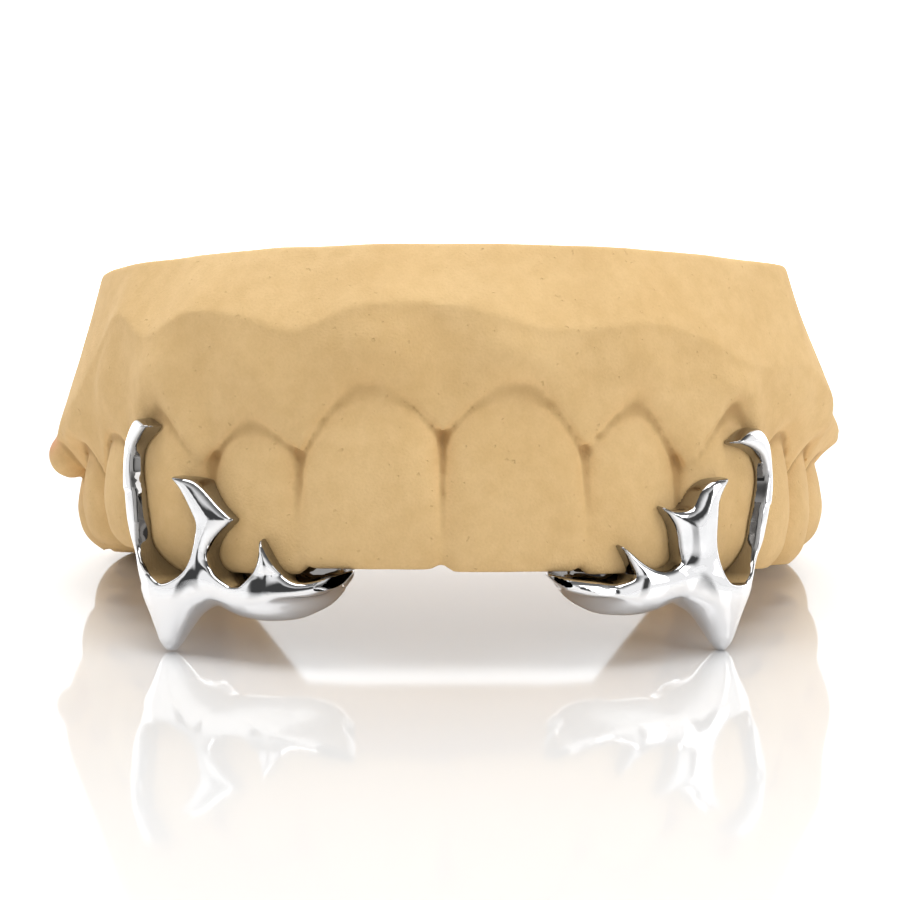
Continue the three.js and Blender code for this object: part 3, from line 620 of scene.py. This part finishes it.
def stoneCast():
    shells = [gumShell()] + [toothShell(t) for t in teeth]
    ball = bmesh.new()
    bmesh.ops.create_icosphere(ball, subdivisions=3, radius=cast["bubble"])
    corners = [tuple(v.index for v in f.verts) for f in ball.faces]
    shells.append((np.array([v.co for v in ball.verts]) + bubbleSpot(), corners))
    ball.free()
    points, faces = [], []
    for some, around in shells:
        start = sum(len(p) for p in points)
        points.append(some)
        faces += [tuple(start + i for i in f) for f in around]
    made = meshObject("stoneCast", np.vstack(points), faces)
    tidy = bmesh.new()
    tidy.from_mesh(made.data)
    bmesh.ops.recalc_face_normals(tidy, faces=tidy.faces)
    tidy.to_mesh(made.data)
    tidy.free()
    join = made.modifiers.new("join", "REMESH")
    join.mode, join.voxel_size, join.adaptivity = "VOXEL", cast["voxel"], 0
    soften = made.modifiers.new("soften", "SMOOTH")
    soften.factor, soften.iterations = 0.5, cast["smoothing"]
    baked(made)
    cut = bmesh.new()
    cut.from_mesh(made.data)
    found = bmesh.ops.bisect_plane(
        cut, geom=cut.verts[:] + cut.edges[:] + cut.faces[:], plane_co=(0, jaw["backFace"], 0),
        plane_no=(0, 1, 0), clear_outer=True)
    rim = [e for e in found["geom_cut"] if isinstance(e, bmesh.types.BMEdge)]
    bmesh.ops.triangle_fill(cut, use_beauty=True, edges=rim)
    bmesh.ops.recalc_face_normals(cut, faces=cut.faces)
    cut.to_mesh(made.data)
    cut.free()
    triangles = sum(len(p.vertices) - 2 for p in made.data.polygons)
    if triangles > cast["triangles"]:
        thin = made.modifiers.new("thin", "DECIMATE")
        thin.ratio = cast["triangles"] / triangles
        baked(made)
    return made


def markCreases(made):
    # how deep in a crease each point lies, kept for the painted shade in the creases of the stone and for
    # the cast beads
    mesh = made.data
    points = np.empty(len(mesh.vertices) * 3)
    mesh.vertices.foreach_get("co", points)
    points = points.reshape(-1, 3)
    normals = np.empty(len(mesh.vertices) * 3)
    mesh.vertices.foreach_get("normal", normals)
    normals = normals.reshape(-1, 3)
    edges = np.empty(len(mesh.edges) * 2, int)
    mesh.edges.foreach_get("vertices", edges)
    edges = edges.reshape(-1, 2)
    for name, passes in (("crease", cast["creaseWidth"]), ("fineCreaseShade", cast["fineWidth"])):
        depth = ((relaxed(points, edges, passes) - points) * normals).sum(1)
        depth = relaxed(depth[:, None], edges, cast["creaseBlur"])[:, 0]
        mark = mesh.attributes.new(name, "FLOAT", "POINT")
        mark.data.foreach_set("value", depth.astype(np.float32))
    tipSpot = bubbleSpot() + cast["bubble"] * np.array([-0.8, -0.4, 0.5])
    away = np.linalg.norm(points - tipSpot, axis=1)
    mark = mesh.attributes.new("bubbleTip", "FLOAT", "POINT")
    mark.data.foreach_set("value", np.exp(-((away / 0.9) ** 2)).astype(np.float32))


relief = {
    "Relief": 0.07,         # mm, unevenness of the cast skin
    "Relief Size": 2.4,
    "Bead Density": 0.09,   # cast beads to each square mm of crease
    "Bead Radius": 0.13,
    "Bead Crease": 0.09,    # how deep a crease has to be to hold beads
    "Seed": 5,
}


def reliefTree():
    # an uneven skin, with small cast beads caught in the creases
    tree = bpy.data.node_groups.new("cast skin", "GeometryNodeTree")
    tree.interface.new_socket("Geometry", in_out="INPUT", socket_type="NodeSocketGeometry")
    for name, value in relief.items():
        kind = "NodeSocketInt" if isinstance(value, int) else "NodeSocketFloat"
        tree.interface.new_socket(name, in_out="INPUT", socket_type=kind)
    tree.interface.new_socket("Stone", in_out="INPUT", socket_type="NodeSocketMaterial")
    tree.interface.new_socket("Geometry", in_out="OUTPUT", socket_type="NodeSocketGeometry")
    new, link = tree.nodes.new, tree.links.new
    given, end = new("NodeGroupInput"), new("NodeGroupOutput")

    lumps = new("ShaderNodeTexNoise")
    lumps.inputs["Detail"].default_value = 2
    lumps.inputs["Scale"].default_value = 1
    sized = new("ShaderNodeVectorMath")
    sized.operation = "DIVIDE"
    link(new("GeometryNodeInputPosition").outputs[0], sized.inputs[0])
    link(given.outputs["Relief Size"], sized.inputs[1])
    link(sized.outputs[0], lumps.inputs["Vector"])
    centred = worked(tree, "SUBTRACT", lumps.outputs["Fac"], 0.5)
    raised = worked(tree, "MULTIPLY", centred, given.outputs["Relief"])
    push = new("ShaderNodeVectorMath")
    push.operation = "SCALE"
    link(new("GeometryNodeInputNormal").outputs[0], push.inputs[0])
    link(raised, push.inputs["Scale"])
    skin = new("GeometryNodeSetPosition")
    link(given.outputs["Geometry"], skin.inputs["Geometry"])
    link(push.outputs[0], skin.inputs["Offset"])

    mark = new("GeometryNodeInputNamedAttribute")
    mark.data_type = "FLOAT"
    mark.inputs["Name"].default_value = "crease"
    deep = worked(tree, "GREATER_THAN", mark.outputs["Attribute"], given.outputs["Bead Crease"])
    spread = new("GeometryNodeDistributePointsOnFaces")
    link(skin.outputs["Geometry"], spread.inputs["Mesh"])
    link(worked(tree, "MULTIPLY", deep, given.outputs["Bead Density"]), spread.inputs["Density"])
    link(given.outputs["Seed"], spread.inputs["Seed"])
    bead = new("GeometryNodeMeshIcoSphere")
    bead.inputs["Subdivisions"].default_value = 2
    link(given.outputs["Bead Radius"], bead.inputs["Radius"])
    size = new("FunctionNodeRandomValue")
    size.data_type = "FLOAT"
    least, most = [socket for socket in size.inputs if socket.enabled][:2]
    least.default_value, most.default_value = 0.5, 1.2
    link(given.outputs["Seed"], size.inputs["Seed"])
    laid = new("GeometryNodeInstanceOnPoints")
    link(spread.outputs["Points"], laid.inputs["Points"])
    link(bead.outputs["Mesh"], laid.inputs["Instance"])
    link(next(socket for socket in size.outputs if socket.enabled), laid.inputs["Scale"])
    both = new("GeometryNodeJoinGeometry")
    link(skin.outputs["Geometry"], both.inputs[0])
    link(laid.outputs["Instances"], both.inputs[0])
    real = new("GeometryNodeRealizeInstances")
    link(both.outputs[0], real.inputs["Geometry"])
    dressed = new("GeometryNodeSetMaterial")
    link(real.outputs["Geometry"], dressed.inputs["Geometry"])
    link(given.outputs["Stone"], dressed.inputs["Material"])
    link(dressed.outputs["Geometry"], end.inputs["Geometry"])
    return tree


def addNodes(made, tree, values):
    # a modifier whose inputs are set by their identifiers, then baked to a plain mesh
    modifier = made.modifiers.new(tree.name, "NODES")
    modifier.node_group = tree
    for item in tree.interface.items_tree:
        if item.in_out == "INPUT" and item.name in values:
            modifier[item.identifier] = values[item.name]
    return baked(made)


print("cast: teeth and gum")
stone = stoneCast()
print("cast: joined,", len(stone.data.polygons), "faces")
markCreases(stone)
addNodes(stone, reliefTree(), relief | {"Stone": stoneMaterial()})
places = np.empty(len(stone.data.vertices) * 3)
stone.data.vertices.foreach_get("co", places)
stone.data.vertices.foreach_set("co", standing(places.reshape(-1, 3)).ravel())
stone.data.update()
stone.data.shade_smooth()
stone.data.set_sharp_from_angle(angle=math.radians(50))


# The caps

cap = {
    "step": 0.11,           # mm, grid the silver skin is found on
    "fit": 0.05,            # silver to stone
    "wall": 0.78,           # silver over the teeth at the edge of a cap
    "crown": 0.3,           # more silver in the middle of its wide parts
    "crownReach": 1.3,
    "draft": 0.13,          # slope of the side walls, wider towards the teeth
    "rim": 0.42,            # roundness of the edges
    "bridge": 2.4,          # fillet where the front runs over two teeth
    "blend": 1.6,           # fillet where bar, fang and front meet
    "axisX": 0.183 * jaw["halfWidth"],
    "axisY": 0.417 * jaw["depth"],
    "sweep": 58,            # degrees the flame outline turns through
    "hookRise": 9.2,
    "fangDrop": 5.5,
    "core": 15.2,           # from the axis to where front and back shells meet
    "shellRise": 5.2,
    "shellWall": 0.8,
    "barDeep": 2.1,
    "barTall": 1.6,
    "fangOut": 17.5,
    "fangWide": 4.3,
    "lowJoin": -1.25,       # below this, bar and fang are whole
    "flat": 17.5,           # distance from the axis at which outlines are measured
    "barReach": (0.97, 0.88),
    "barDrop": (0.34, 0),   # more height under the bar
    "paintedWallStart": 0.17,      # how far in from the outline the painted dark reflection on the cut wall begins
    "paintedWallBlend": 0.15,
    "fangShift": (0, 0.035),
    "armStep": (4.65, 3.7), # height of the small step across the arm
    "stepDeep": 0.1,
    "inner": 0.3,           # fillet where front, back and bar end meet
}

# Turn and rise of the outline; a row with a name is a sharp corner
leftFlame = [
    (0.805, 0.95, "hook tip"), (0.9, 1), (0.98, 0.89), (0.985, 0.65), (0.975, 0.42), (0.96, 0.2),
    (0.92, 0.06), (0.86, -0.06), (0.8, -0.2), (0.73, -0.6, "fang tip"), (0.65, -0.4),
    (0.56, -0.26, "fang crease"), (0.44, -0.3), (0.36, -0.32), (0.27, -0.33), (0.195, -0.31),
    (0.11, -0.245), (0.06, -0.165), (0.01, -0.03, "bar end"), (0.075, -0.06), (0.185, -0.1),
    (0.245, -0.04), (0.32, 0.175, "spike tip"), (0.335, 0.005), (0.36, -0.075), (0.4, -0.14),
    (0.455, -0.105), (0.51, -0.03), (0.535, 0.07), (0.51, 0.175), (0.43, 0.31, "barb tip"),
    (0.485, 0.4), (0.58, 0.57), (0.665, 0.595, "blade tip"), (0.63, 0.52), (0.585, 0.36),
    (0.57, 0.28), (0.575, 0.185), (0.595, 0.025), (0.62, -0.06), (0.69, -0.13), (0.755, -0.075),
    (0.835, 0.01), (0.885, 0.12), (0.88, 0.3), (0.89, 0.5), (0.91, 0.66), (0.9, 0.8),
]
rightFlame = [
    (0.765, 0.835, "hook tip"), (0.85, 0.915), (0.93, 0.93), (0.99, 0.86), (1, 0.68), (1, 0.52),
    (0.975, 0.27), (0.96, 0.12), (0.92, -0.01), (0.85, -0.2), (0.755, -0.6, "fang tip"),
    (0.69, -0.43), (0.575, -0.24, "fang crease"), (0.47, -0.27), (0.37, -0.32), (0.29, -0.3),
    (0.19, -0.235), (0.105, -0.135), (0.06, -0.05, "bar end"), (0.13, -0.075), (0.225, -0.1),
    (0.3, -0.115), (0.355, -0.065), (0.34, 0.02), (0.305, 0.135, "spike tip"), (0.34, 0.095),
    (0.425, -0.02), (0.49, -0.03), (0.54, 0.03), (0.535, 0.13), (0.52, 0.255),
    (0.47, 0.39, "barb tip"), (0.51, 0.37), (0.575, 0.385), (0.615, 0.51), (0.65, 0.565),
    (0.72, 0.585, "blade tip"), (0.68, 0.44), (0.675, 0.3), (0.675, 0.115), (0.705, -0.09),
    (0.75, -0.155), (0.8, -0.145), (0.87, -0.06), (0.915, 0.1), (0.92, 0.3), (0.935, 0.45),
    (0.955, 0.6), (0.93, 0.72), (0.87, 0.79),
]
shellRows = [
    (-0.1, -0.6, "bar end, below"), (0.95, -0.3, "behind the fang, below"),
    (0.95, 1, "behind the fang, above"), (0.5, 0.85, "between the teeth"),
    (0.2, 0.8, "behind the lateral tooth"), (0.1, 0.1, "bar, above"), (-0.1, 0.1, "bar end, above"),
]
# Bar: along, out, up, half thickness, half height
barRows = [
    (0.29, -0.86, -0.5, 0.9, 0.9), (0.255, -0.71, -0.5, 1, 0.96),
    (0.215, -0.57, -0.66, 1, 1.17), (0.18, -0.71, -0.72, 0.9, 1.2),
    (0.145, -1.29, -0.45, 0.76, 1.32), (0.125, -1.81, -0.2, 0.52, 1.02),
    (0.11, -2.19, 0.02, 0.24, 0.5),
]
# Fang: down, turn, out, half width, half depth
fangRows = [
    (-0.5, 0.74, 0.935, 1, 0.605), (-0.1, 0.73, 0.945, 0.885, 0.605),
    (0.18, 0.72, 0.96, 0.745, 0.58), (0.36, 0.715, 0.975, 0.65, 0.51),
    (0.58, 0.725, 0.99, 0.42, 0.37), (0.77, 0.735, 0.995, 0.26, 0.26),
    (0.92, 0.74, 1, 0.155, 0.155), (1.0, 0.742, 1, 0.07, 0.07),
]


def outlineOf(rows, tall, steps):
    # the outline in mm, its smooth runs filled in between the corners
    spots = [(math.radians(row[0] * cap["sweep"]) * cap["flat"], row[1] * tall) for row in rows]
    corners = [i for i, row in enumerate(rows) if len(row) > 2]
    outline = []
    for k, start in enumerate(corners):
        end = corners[k + 1] if k + 1 < len(corners) else len(rows)
        run = [spots[i] for i in range(start, end)] + [spots[end % len(rows)]]
        outline.append(smoothPath(run, steps)[:-1] if len(run) > 2 else np.array(run[:1]))
    return np.vstack(outline)


def insideBy(outline, spots):
    # how far each spot is inside a closed outline, less than 0 outside, and the way inwards
    start, end = outline, np.roll(outline, -1, axis=0)
    ahead = end - start
    size = (ahead**2).sum(1)
    found, inward = np.empty(len(spots)), np.empty((len(spots), 2))
    for i in range(0, len(spots), 4000):
        some = spots[i:i + 4000, None]
        t = np.clip(((some - start) * ahead).sum(2) / size, 0, 1)
        off = some - start - t[..., None] * ahead
        away = (off**2).sum(2)
        nearest = away.argmin(1)
        rows = np.arange(len(some))
        off, away = off[rows, nearest], np.sqrt(away[rows, nearest])
        crosses = (start[:, 1] > some[..., 1]) != (end[:, 1] > some[..., 1])
        climb = np.where(ahead[:, 1] == 0, 1e-9, ahead[:, 1])
        at = start[:, 0] + ahead[:, 0] * (some[..., 1] - start[:, 1]) / climb
        sign = np.where((crosses & (some[..., 0] < at)).sum(1) % 2 == 1, 1, -1)
        found[i:i + 4000] = sign * away
        inward[i:i + 4000] = off * (sign / np.maximum(away, 1e-6))[:, None]
    return found, inward


class CapShape:
    # the silver of one side as a distance field
    def __init__(self, side, flame):
        pick = 0 if side < 0 else 1
        self.side = side
        self.teeth = [t for t in teeth if t["side"] == side][:4]
        self.outline = outlineOf(flame, cap["hookRise"], 8)
        self.shellOutline = outlineOf(shellRows, cap["shellRise"], 1)
        self.fang = np.array(fangRows)
        self.fang[:, 1] = (self.fang[:, 1] + cap["fangShift"][pick]) * cap["sweep"]
        self.step = cap["armStep"][pick]
        bar = np.array(barRows)
        along = archRun * mix(bar[0, 0], bar[:, 0], cap["barReach"][pick])
        x, y = onArch(side * along, bar[:, 1] * cap["barDeep"])
        drop = cap["barDrop"][pick] / 2 * np.sin(np.linspace(0, math.pi, len(bar)))
        turn, away, up = self.polar(np.stack([x, y, bar[:, 2] * cap["barTall"] - drop], -1))
        deep, tall = bar[:, 3] * cap["barDeep"], bar[:, 4] * cap["barTall"] + drop
        self.bar = np.stack([turn, away, up, deep, tall], -1)[::-1]

    def polar(self, points):
        x = self.side * points[:, 0] - cap["axisX"]
        y = cap["axisY"] - points[:, 1]
        return np.arctan2(x, y), np.hypot(x, y), points[:, 2]

    def prepare(self):
        # the outlines' depths on a fine grid, read between its points while the skin is found
        self.u = np.arange(-3, 22, 0.06)
        self.v = np.arange(-7, 10.6, 0.06)
        spots = np.stack(np.meshgrid(self.u, self.v, indexing="ij"), -1).reshape(-1, 2)
        self.flameGrid = insideBy(self.outline, spots)[0].reshape(len(self.u), len(self.v))
        self.shellGrid = insideBy(self.shellOutline, spots)[0].reshape(len(self.u), len(self.v))

    def read(self, grid, u, v):
        a = np.clip((u - self.u[0]) / 0.06, 0, len(self.u) - 1.001)
        b = np.clip((v - self.v[0]) / 0.06, 0, len(self.v) - 1.001)
        i, j = a.astype(int), b.astype(int)
        a, b = a - i, b - j
        low = mix(grid[i, j], grid[i, j + 1], b)
        return mix(low, mix(grid[i + 1, j], grid[i + 1, j + 1], b), a)

    def barField(self, turn, away, up):
        rows = self.bar
        out, height, deep, tall = (eased(turn, rows[:, 0], rows[:, k]) for k in (1, 2, 3, 4))
        reach = np.sqrt(((away - out) / deep) ** 2 + ((up - height) / tall) ** 2)
        past = (rows[0, 0] - turn) * cap["core"]
        return smoothMax((reach - 1) * np.minimum(deep, tall), past, cap["inner"])

    def fangField(self, turn, away, up):
        rows = self.fang
        down = -up / cap["fangDrop"]
        middle, out, wide, deep = (eased(down, rows[:, 0], rows[:, k]) for k in (1, 2, 3, 4))
        wide, deep = np.maximum(wide, 0.02) * cap["fangWide"], np.maximum(deep, 0.02) * cap["fangWide"]
        swing = (turn - np.radians(middle)) * out * cap["fangOut"]
        reach = np.sqrt((swing / wide) ** 2 + ((away - out * cap["fangOut"]) / deep) ** 2)
        return smoothMax((reach - 1) * np.minimum(wide, deep), -up - cap["fangDrop"], 0.1)

    def outlinesAt(self, points):
        # both outlines measured at the points themselves, to read the field close by
        turn, away, up = self.polar(points)
        spots = np.stack([turn * cap["flat"], up], -1)
        return spots, insideBy(self.outline, spots), insideBy(self.shellOutline, spots)

    def paintedWallReflectionAt(self, points):
        # 1 on the cut walls of the flame, where a dark reflection is painted into the silver's colour, 0 on
        # its front, its bar and its fang
        inside = self.outlinesAt(points)[1][0]
        wall = np.clip((cap["paintedWallStart"] - inside) / cap["paintedWallBlend"], 0, 1)
        return wall * np.clip((points[:, 2] - cap["lowJoin"]) / 0.6, 0, 1)

    def field(self, points, close=None):
        turn, away, up = self.polar(points)
        u = turn * cap["flat"]
        if close:
            spots, flame, back = close
            moved = np.stack([u, up], -1) - spots
            inside, shellInside = (depth + (way * moved).sum(1) for depth, way in (flame, back))
        else:
            inside, shellInside = self.read(self.flameGrid, u, up), self.read(self.shellGrid, u, up)
        t = np.clip(inside / cap["crownReach"], 0, 1)
        crown = cap["crown"] * t * (2 - t)
        crown = crown + cap["stepDeep"] * (1 / (1 + np.exp(-(up - self.step) / 0.04)) - 0.5) * (turn > 0.75)
        grown = cap["fit"] + cap["wall"] + crown
        central, lateral, canine, premolar = self.teeth
        over = toothField(lateral, points, grown)
        for tooth in (canine, central, premolar):
            over = smoothMin(over, toothField(tooth, points, grown), cap["bridge"])
        bar, fang = self.barField(turn, away, up), self.fangField(turn, away, up)
        low = smoothMin(bar, fang, cap["blend"])
        below = np.maximum(cap["lowJoin"] - up, 0)
        front = smoothMin(over, low, cap["blend"])
        spread = cap["draft"] * np.clip(-front, 0, 1)
        cut = (-inside - spread) / math.hypot(1, cap["draft"])
        front = smoothMax(front, cut - 1.5 * below, cap["rim"])
        front = smoothMax(front, cap["core"] - away - 3 * below, cap["inner"])
        wall = cap["fit"] + cap["shellWall"]
        shell = smoothMin(toothField(lateral, points, wall), toothField(canine, points, wall), 0.8)
        shell = smoothMax(smoothMin(shell, bar, 0.5), -shellInside, 0.6)
        shell = smoothMax(shell, away - cap["core"] - cap["inner"], cap["inner"])
        whole = smoothMin(front, shell, cap["inner"])
        for tooth in self.teeth:
            whole = smoothMax(whole, -toothField(tooth, points, cap["fit"]), 0.1)
        return whole


def skinOf(shape, low, high, step):
    # the surface where the field is 0: one point in each grid cell that it crosses
    axes = [np.arange(a, b + step, step) for a, b in zip(low, high)]
    size = tuple(len(a) for a in axes)
    grid = np.stack(np.meshgrid(*axes, indexing="ij"), -1).reshape(-1, 3)
    values = np.concatenate([shape.field(part) for part in np.array_split(grid, 12)]).reshape(size)
    solid = values < 0
    cells = tuple(n - 1 for n in size)
    total = np.zeros(cells + (3,))
    count = np.zeros(cells)
    quads = []
    for k in range(3):
        near = [slice(0, n) for n in size]
        far = list(near)
        near[k], far[k] = slice(0, size[k] - 1), slice(1, size[k])
        a, b = values[tuple(near)], values[tuple(far)]
        cross = (a < 0) != (b < 0)
        i = np.argwhere(cross)
        share = a[cross] / (a[cross] - b[cross])
        spot = i + share[:, None] * np.eye(3)[k]
        p, q = [m for m in range(3) if m != k]
        keep = (i[:, p] > 0) & (i[:, q] > 0) & (i[:, p] < size[p] - 1) & (i[:, q] < size[q] - 1)
        i, spot, falling = i[keep], spot[keep], (a[cross] < 0)[keep]
        around = []
        for dp, dq in ((0, 0), (1, 0), (1, 1), (0, 1)):
            cell = i.copy()
            cell[:, p] -= dp
            cell[:, q] -= dq
            where = tuple(cell.T)
            np.add.at(total, where, spot)
            np.add.at(count, where, 1)
            around.append(np.ravel_multi_index(where, cells))
        around = np.stack(around, -1)
        flip = falling == (k != 1)
        around[flip] = around[flip][:, ::-1]
        quads.append(around)
    used = np.flatnonzero(count.ravel())
    index = np.full(count.size, -1)
    index[used] = np.arange(len(used))
    points = total.reshape(-1, 3)[used] / count.ravel()[used][:, None] * step + low
    return points, index[np.vstack(quads)]


def settled(shape, points, passes=2):
    # every point moved on to the surface itself
    tiny = 0.012
    for _ in range(passes):
        close = shape.outlinesAt(points)
        value = shape.field(points, close)
        slope = np.stack([
            (shape.field(points + step, close) - value) / tiny for step in tiny * np.eye(3)], -1)
        size = np.maximum((slope**2).sum(1), 0.05)
        move = -(value / size)[:, None] * slope
        far = np.maximum(np.linalg.norm(move, axis=1) / 0.06, 1)
        points = points + move / far[:, None]
    return points


def islandsOf(tidy):
    # the points of each joined part, the largest part last
    islands = []
    left = set(tidy.verts)
    while left:
        stack, group = [left.pop()], []
        while stack:
            v = stack.pop()
            group.append(v)
            for e in v.link_edges:
                w = e.other_vert(v)
                if w in left:
                    left.remove(w)
                    stack.append(w)
        islands.append(group)
    return sorted(islands, key=len)


def fangCap(name, side, flame):
    shape = CapShape(side, flame)
    shape.prepare()
    low = np.array([5 if side > 0 else -22, 0.4, -5.8])
    points, quads = skinOf(shape, low, low + [17, 14.4, 15.6], cap["step"])
    points = settled(shape, points)
    made = meshObject(name, standing(points), quads.tolist())
    # painted reflection: the cut walls get a dark tone, kept on the points
    mark = made.data.attributes.new("cutWallPaintedReflection", "FLOAT", "POINT")
    mark.data.foreach_set("value", shape.paintedWallReflectionAt(points).astype(np.float32))
    tidy = bmesh.new()
    tidy.from_mesh(made.data)
    for group in islandsOf(tidy)[:-1]:
        bmesh.ops.delete(tidy, geom=group, context="VERTS")
    bmesh.ops.recalc_face_normals(tidy, faces=tidy.faces)
    tidy.to_mesh(made.data)
    tidy.free()
    made.data.shade_smooth()
    return made


print("caps: left")
leftCap = fangCap("silverCapLeft", -1, leftFlame)
print("caps: right,", len(leftCap.data.polygons), "faces on the left one")
rightCap = fangCap("silverCapRight", 1, rightFlame)


# Silver

silverLook = {
    "colour": (0.94, 0.94, 0.95, 1),
    "wall": (0.34, 0.33, 0.32, 1),  # painted reflection: a dark tone on the cut walls, standing in for what the polished walls mirror
    "polish": 0.03,
    "smudge": 0.07,
}


def silverMaterial():
    material, tree, shader, place = startMaterial("polished silver")
    cloud = grouped(tree, cloudGroup, Vector=place)
    # painted reflection: the cut walls are coloured dark in place of the dark surroundings they would
    # mirror
    wall = tree.nodes.new("ShaderNodeAttribute")
    wall.attribute_name = "cutWallPaintedReflection"
    colour = coloured(tree, wall.outputs["Fac"], silverLook["colour"], silverLook["wall"])
    tree.links.new(colour, shader.inputs["Base Color"])
    shader.inputs["Metallic"].default_value = 1
    rough = ranged(tree, cloud.outputs["Mask"], 0.3, 0.9, silverLook["polish"], silverLook["smudge"])
    tree.links.new(rough, shader.inputs["Roughness"])
    return material


silver = silverMaterial()
for piece in (leftCap, rightCap):
    piece.data.materials.append(silver)

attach(stone, "root")
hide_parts("stone_cast")
for piece, node in ((leftCap, "fang_cap_left"), (rightCap, "fang_cap_right")):
    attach(piece, "root")
    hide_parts(node)


# Floor, light and camera

studio = {
    "floorColour": (0.87, 0.87, 0.87, 1),
    "floorRoughness": 0.06,
    "backlit": 1.1,         # glow of the sheet where it rises behind the part
    "top": 1.6,             # watts of the big light overhead
    "side": 0.4,
    "above": 0.1,           # brightness of the room overhead
    "ahead": 0.85,          # and low down, all round
    "card": 0.05,           # two dark cards beside the camera, mirrored in the silver
}


def sweep():
    # floor that curves up behind the part
    width, ahead, behind, radius, tall = 1.6, 0.8, 0.35, 0.3, 1.2
    line = [(-ahead, 0.0), (behind, 0.0)]
    turns = np.linspace(0, math.pi / 2, 24)[1:]
    line += [(behind + radius * math.sin(a), radius * (1 - math.cos(a))) for a in turns]
    line.append((behind + radius, tall))
    points = np.array([(side * width, y, z) for y, z in line for side in (-1, 1)])
    faces = [(2 * i, 2 * i + 1, 2 * i + 3, 2 * i + 2) for i in range(len(line) - 1)]
    made = meshObject("floor", points, faces)
    made.data.shade_smooth()
    material, tree, shader, place = startMaterial("white gloss sheet")
    shader.inputs["Base Color"].default_value = studio["floorColour"]
    shader.inputs["Roughness"].default_value = studio["floorRoughness"]
    depth = tree.nodes.new("ShaderNodeSeparateXYZ")
    tree.links.new(place, depth.inputs[0])
    glow = ranged(tree, depth.outputs["Y"], 0.1, 0.4, 0, studio["backlit"])
    tree.links.new(coloured(tree, glow, (0, 0, 0, 1), (1, 1, 1, 1)), shader.inputs["Emission Color"])
    shader.inputs["Emission Strength"].default_value = 1
    made.data.materials.append(material)


def softLight(name, place, target, size, power):
    light = bpy.data.lights.new(name, "AREA")
    light.shape, light.size, light.size_y, light.energy = "RECTANGLE", size[0], size[1], power
    lamp = bpy.data.objects.new(name, light)
    bpy.context.scene.collection.objects.link(lamp)
    lamp.location = place
    lamp.rotation_euler = (Vector(target) - Vector(place)).to_track_quat("-Z", "Y").to_euler()


def room():
    world = bpy.data.worlds.new("studio")
    bpy.context.scene.world = world
    world.use_nodes = True
    tree = world.node_tree
    way = tree.nodes.new("ShaderNodeSeparateXYZ")
    tree.links.new(tree.nodes.new("ShaderNodeTexCoord").outputs["Generated"], way.inputs[0])
    aside = worked(tree, "ABSOLUTE", way.outputs["X"], 0)
    bright = ranged(tree, way.outputs["Z"], 0.3, 0.75, studio["ahead"], studio["above"])
    card = worked(tree, "MULTIPLY", ranged(tree, aside, 0.46, 0.56), ranged(tree, aside, 0.66, 0.76, 1, 0))
    card = worked(tree, "MULTIPLY", card, ranged(tree, way.outputs["Y"], -0.45, -0.35, 1, 0))
    card = worked(tree, "MULTIPLY", card, ranged(tree, way.outputs["Z"], 0.42, 0.5, 1, 0))
    lit = worked(tree, "MULTIPLY", bright, worked(tree, "SUBTRACT", 1.0, card))
    lit = worked(tree, "ADD", lit, studio["card"])
    tree.nodes["Background"].inputs["Color"].default_value = (1, 1, 1, 1)
    tree.links.new(lit, tree.nodes["Background"].inputs["Strength"])


sweep()
softLight("top light", (-0.02, -0.03, 0.45), (0, 0.01, 0), (0.45, 0.3), studio["top"])
softLight("side light", (0.4, -0.22, 0.2), (0, 0, 0.01), (0.2, 0.3), studio["side"])
room()
bpy.context.scene.view_settings.view_transform = "Standard"

view = {
    "right": 0.43, "ahead": 105.4, "above": 20.45,  # from the jaw's front edge, in mm
    "pitch": 7.184, "focal": 71.4, "sensor": 36,
}
camera = bpy.data.objects.new("camera", bpy.data.cameras.new("camera"))
bpy.context.scene.collection.objects.link(camera)
camera.location = ((shift + [view["right"], -view["ahead"], view["above"]]) * mm).tolist()
camera.rotation_euler = (math.radians(90 - view["pitch"]), 0, 0)
camera.data.lens, camera.data.sensor_width = view["focal"], view["sensor"]
camera.data.clip_start, camera.data.clip_end = 0.005, 10
bpy.context.scene.camera = camera
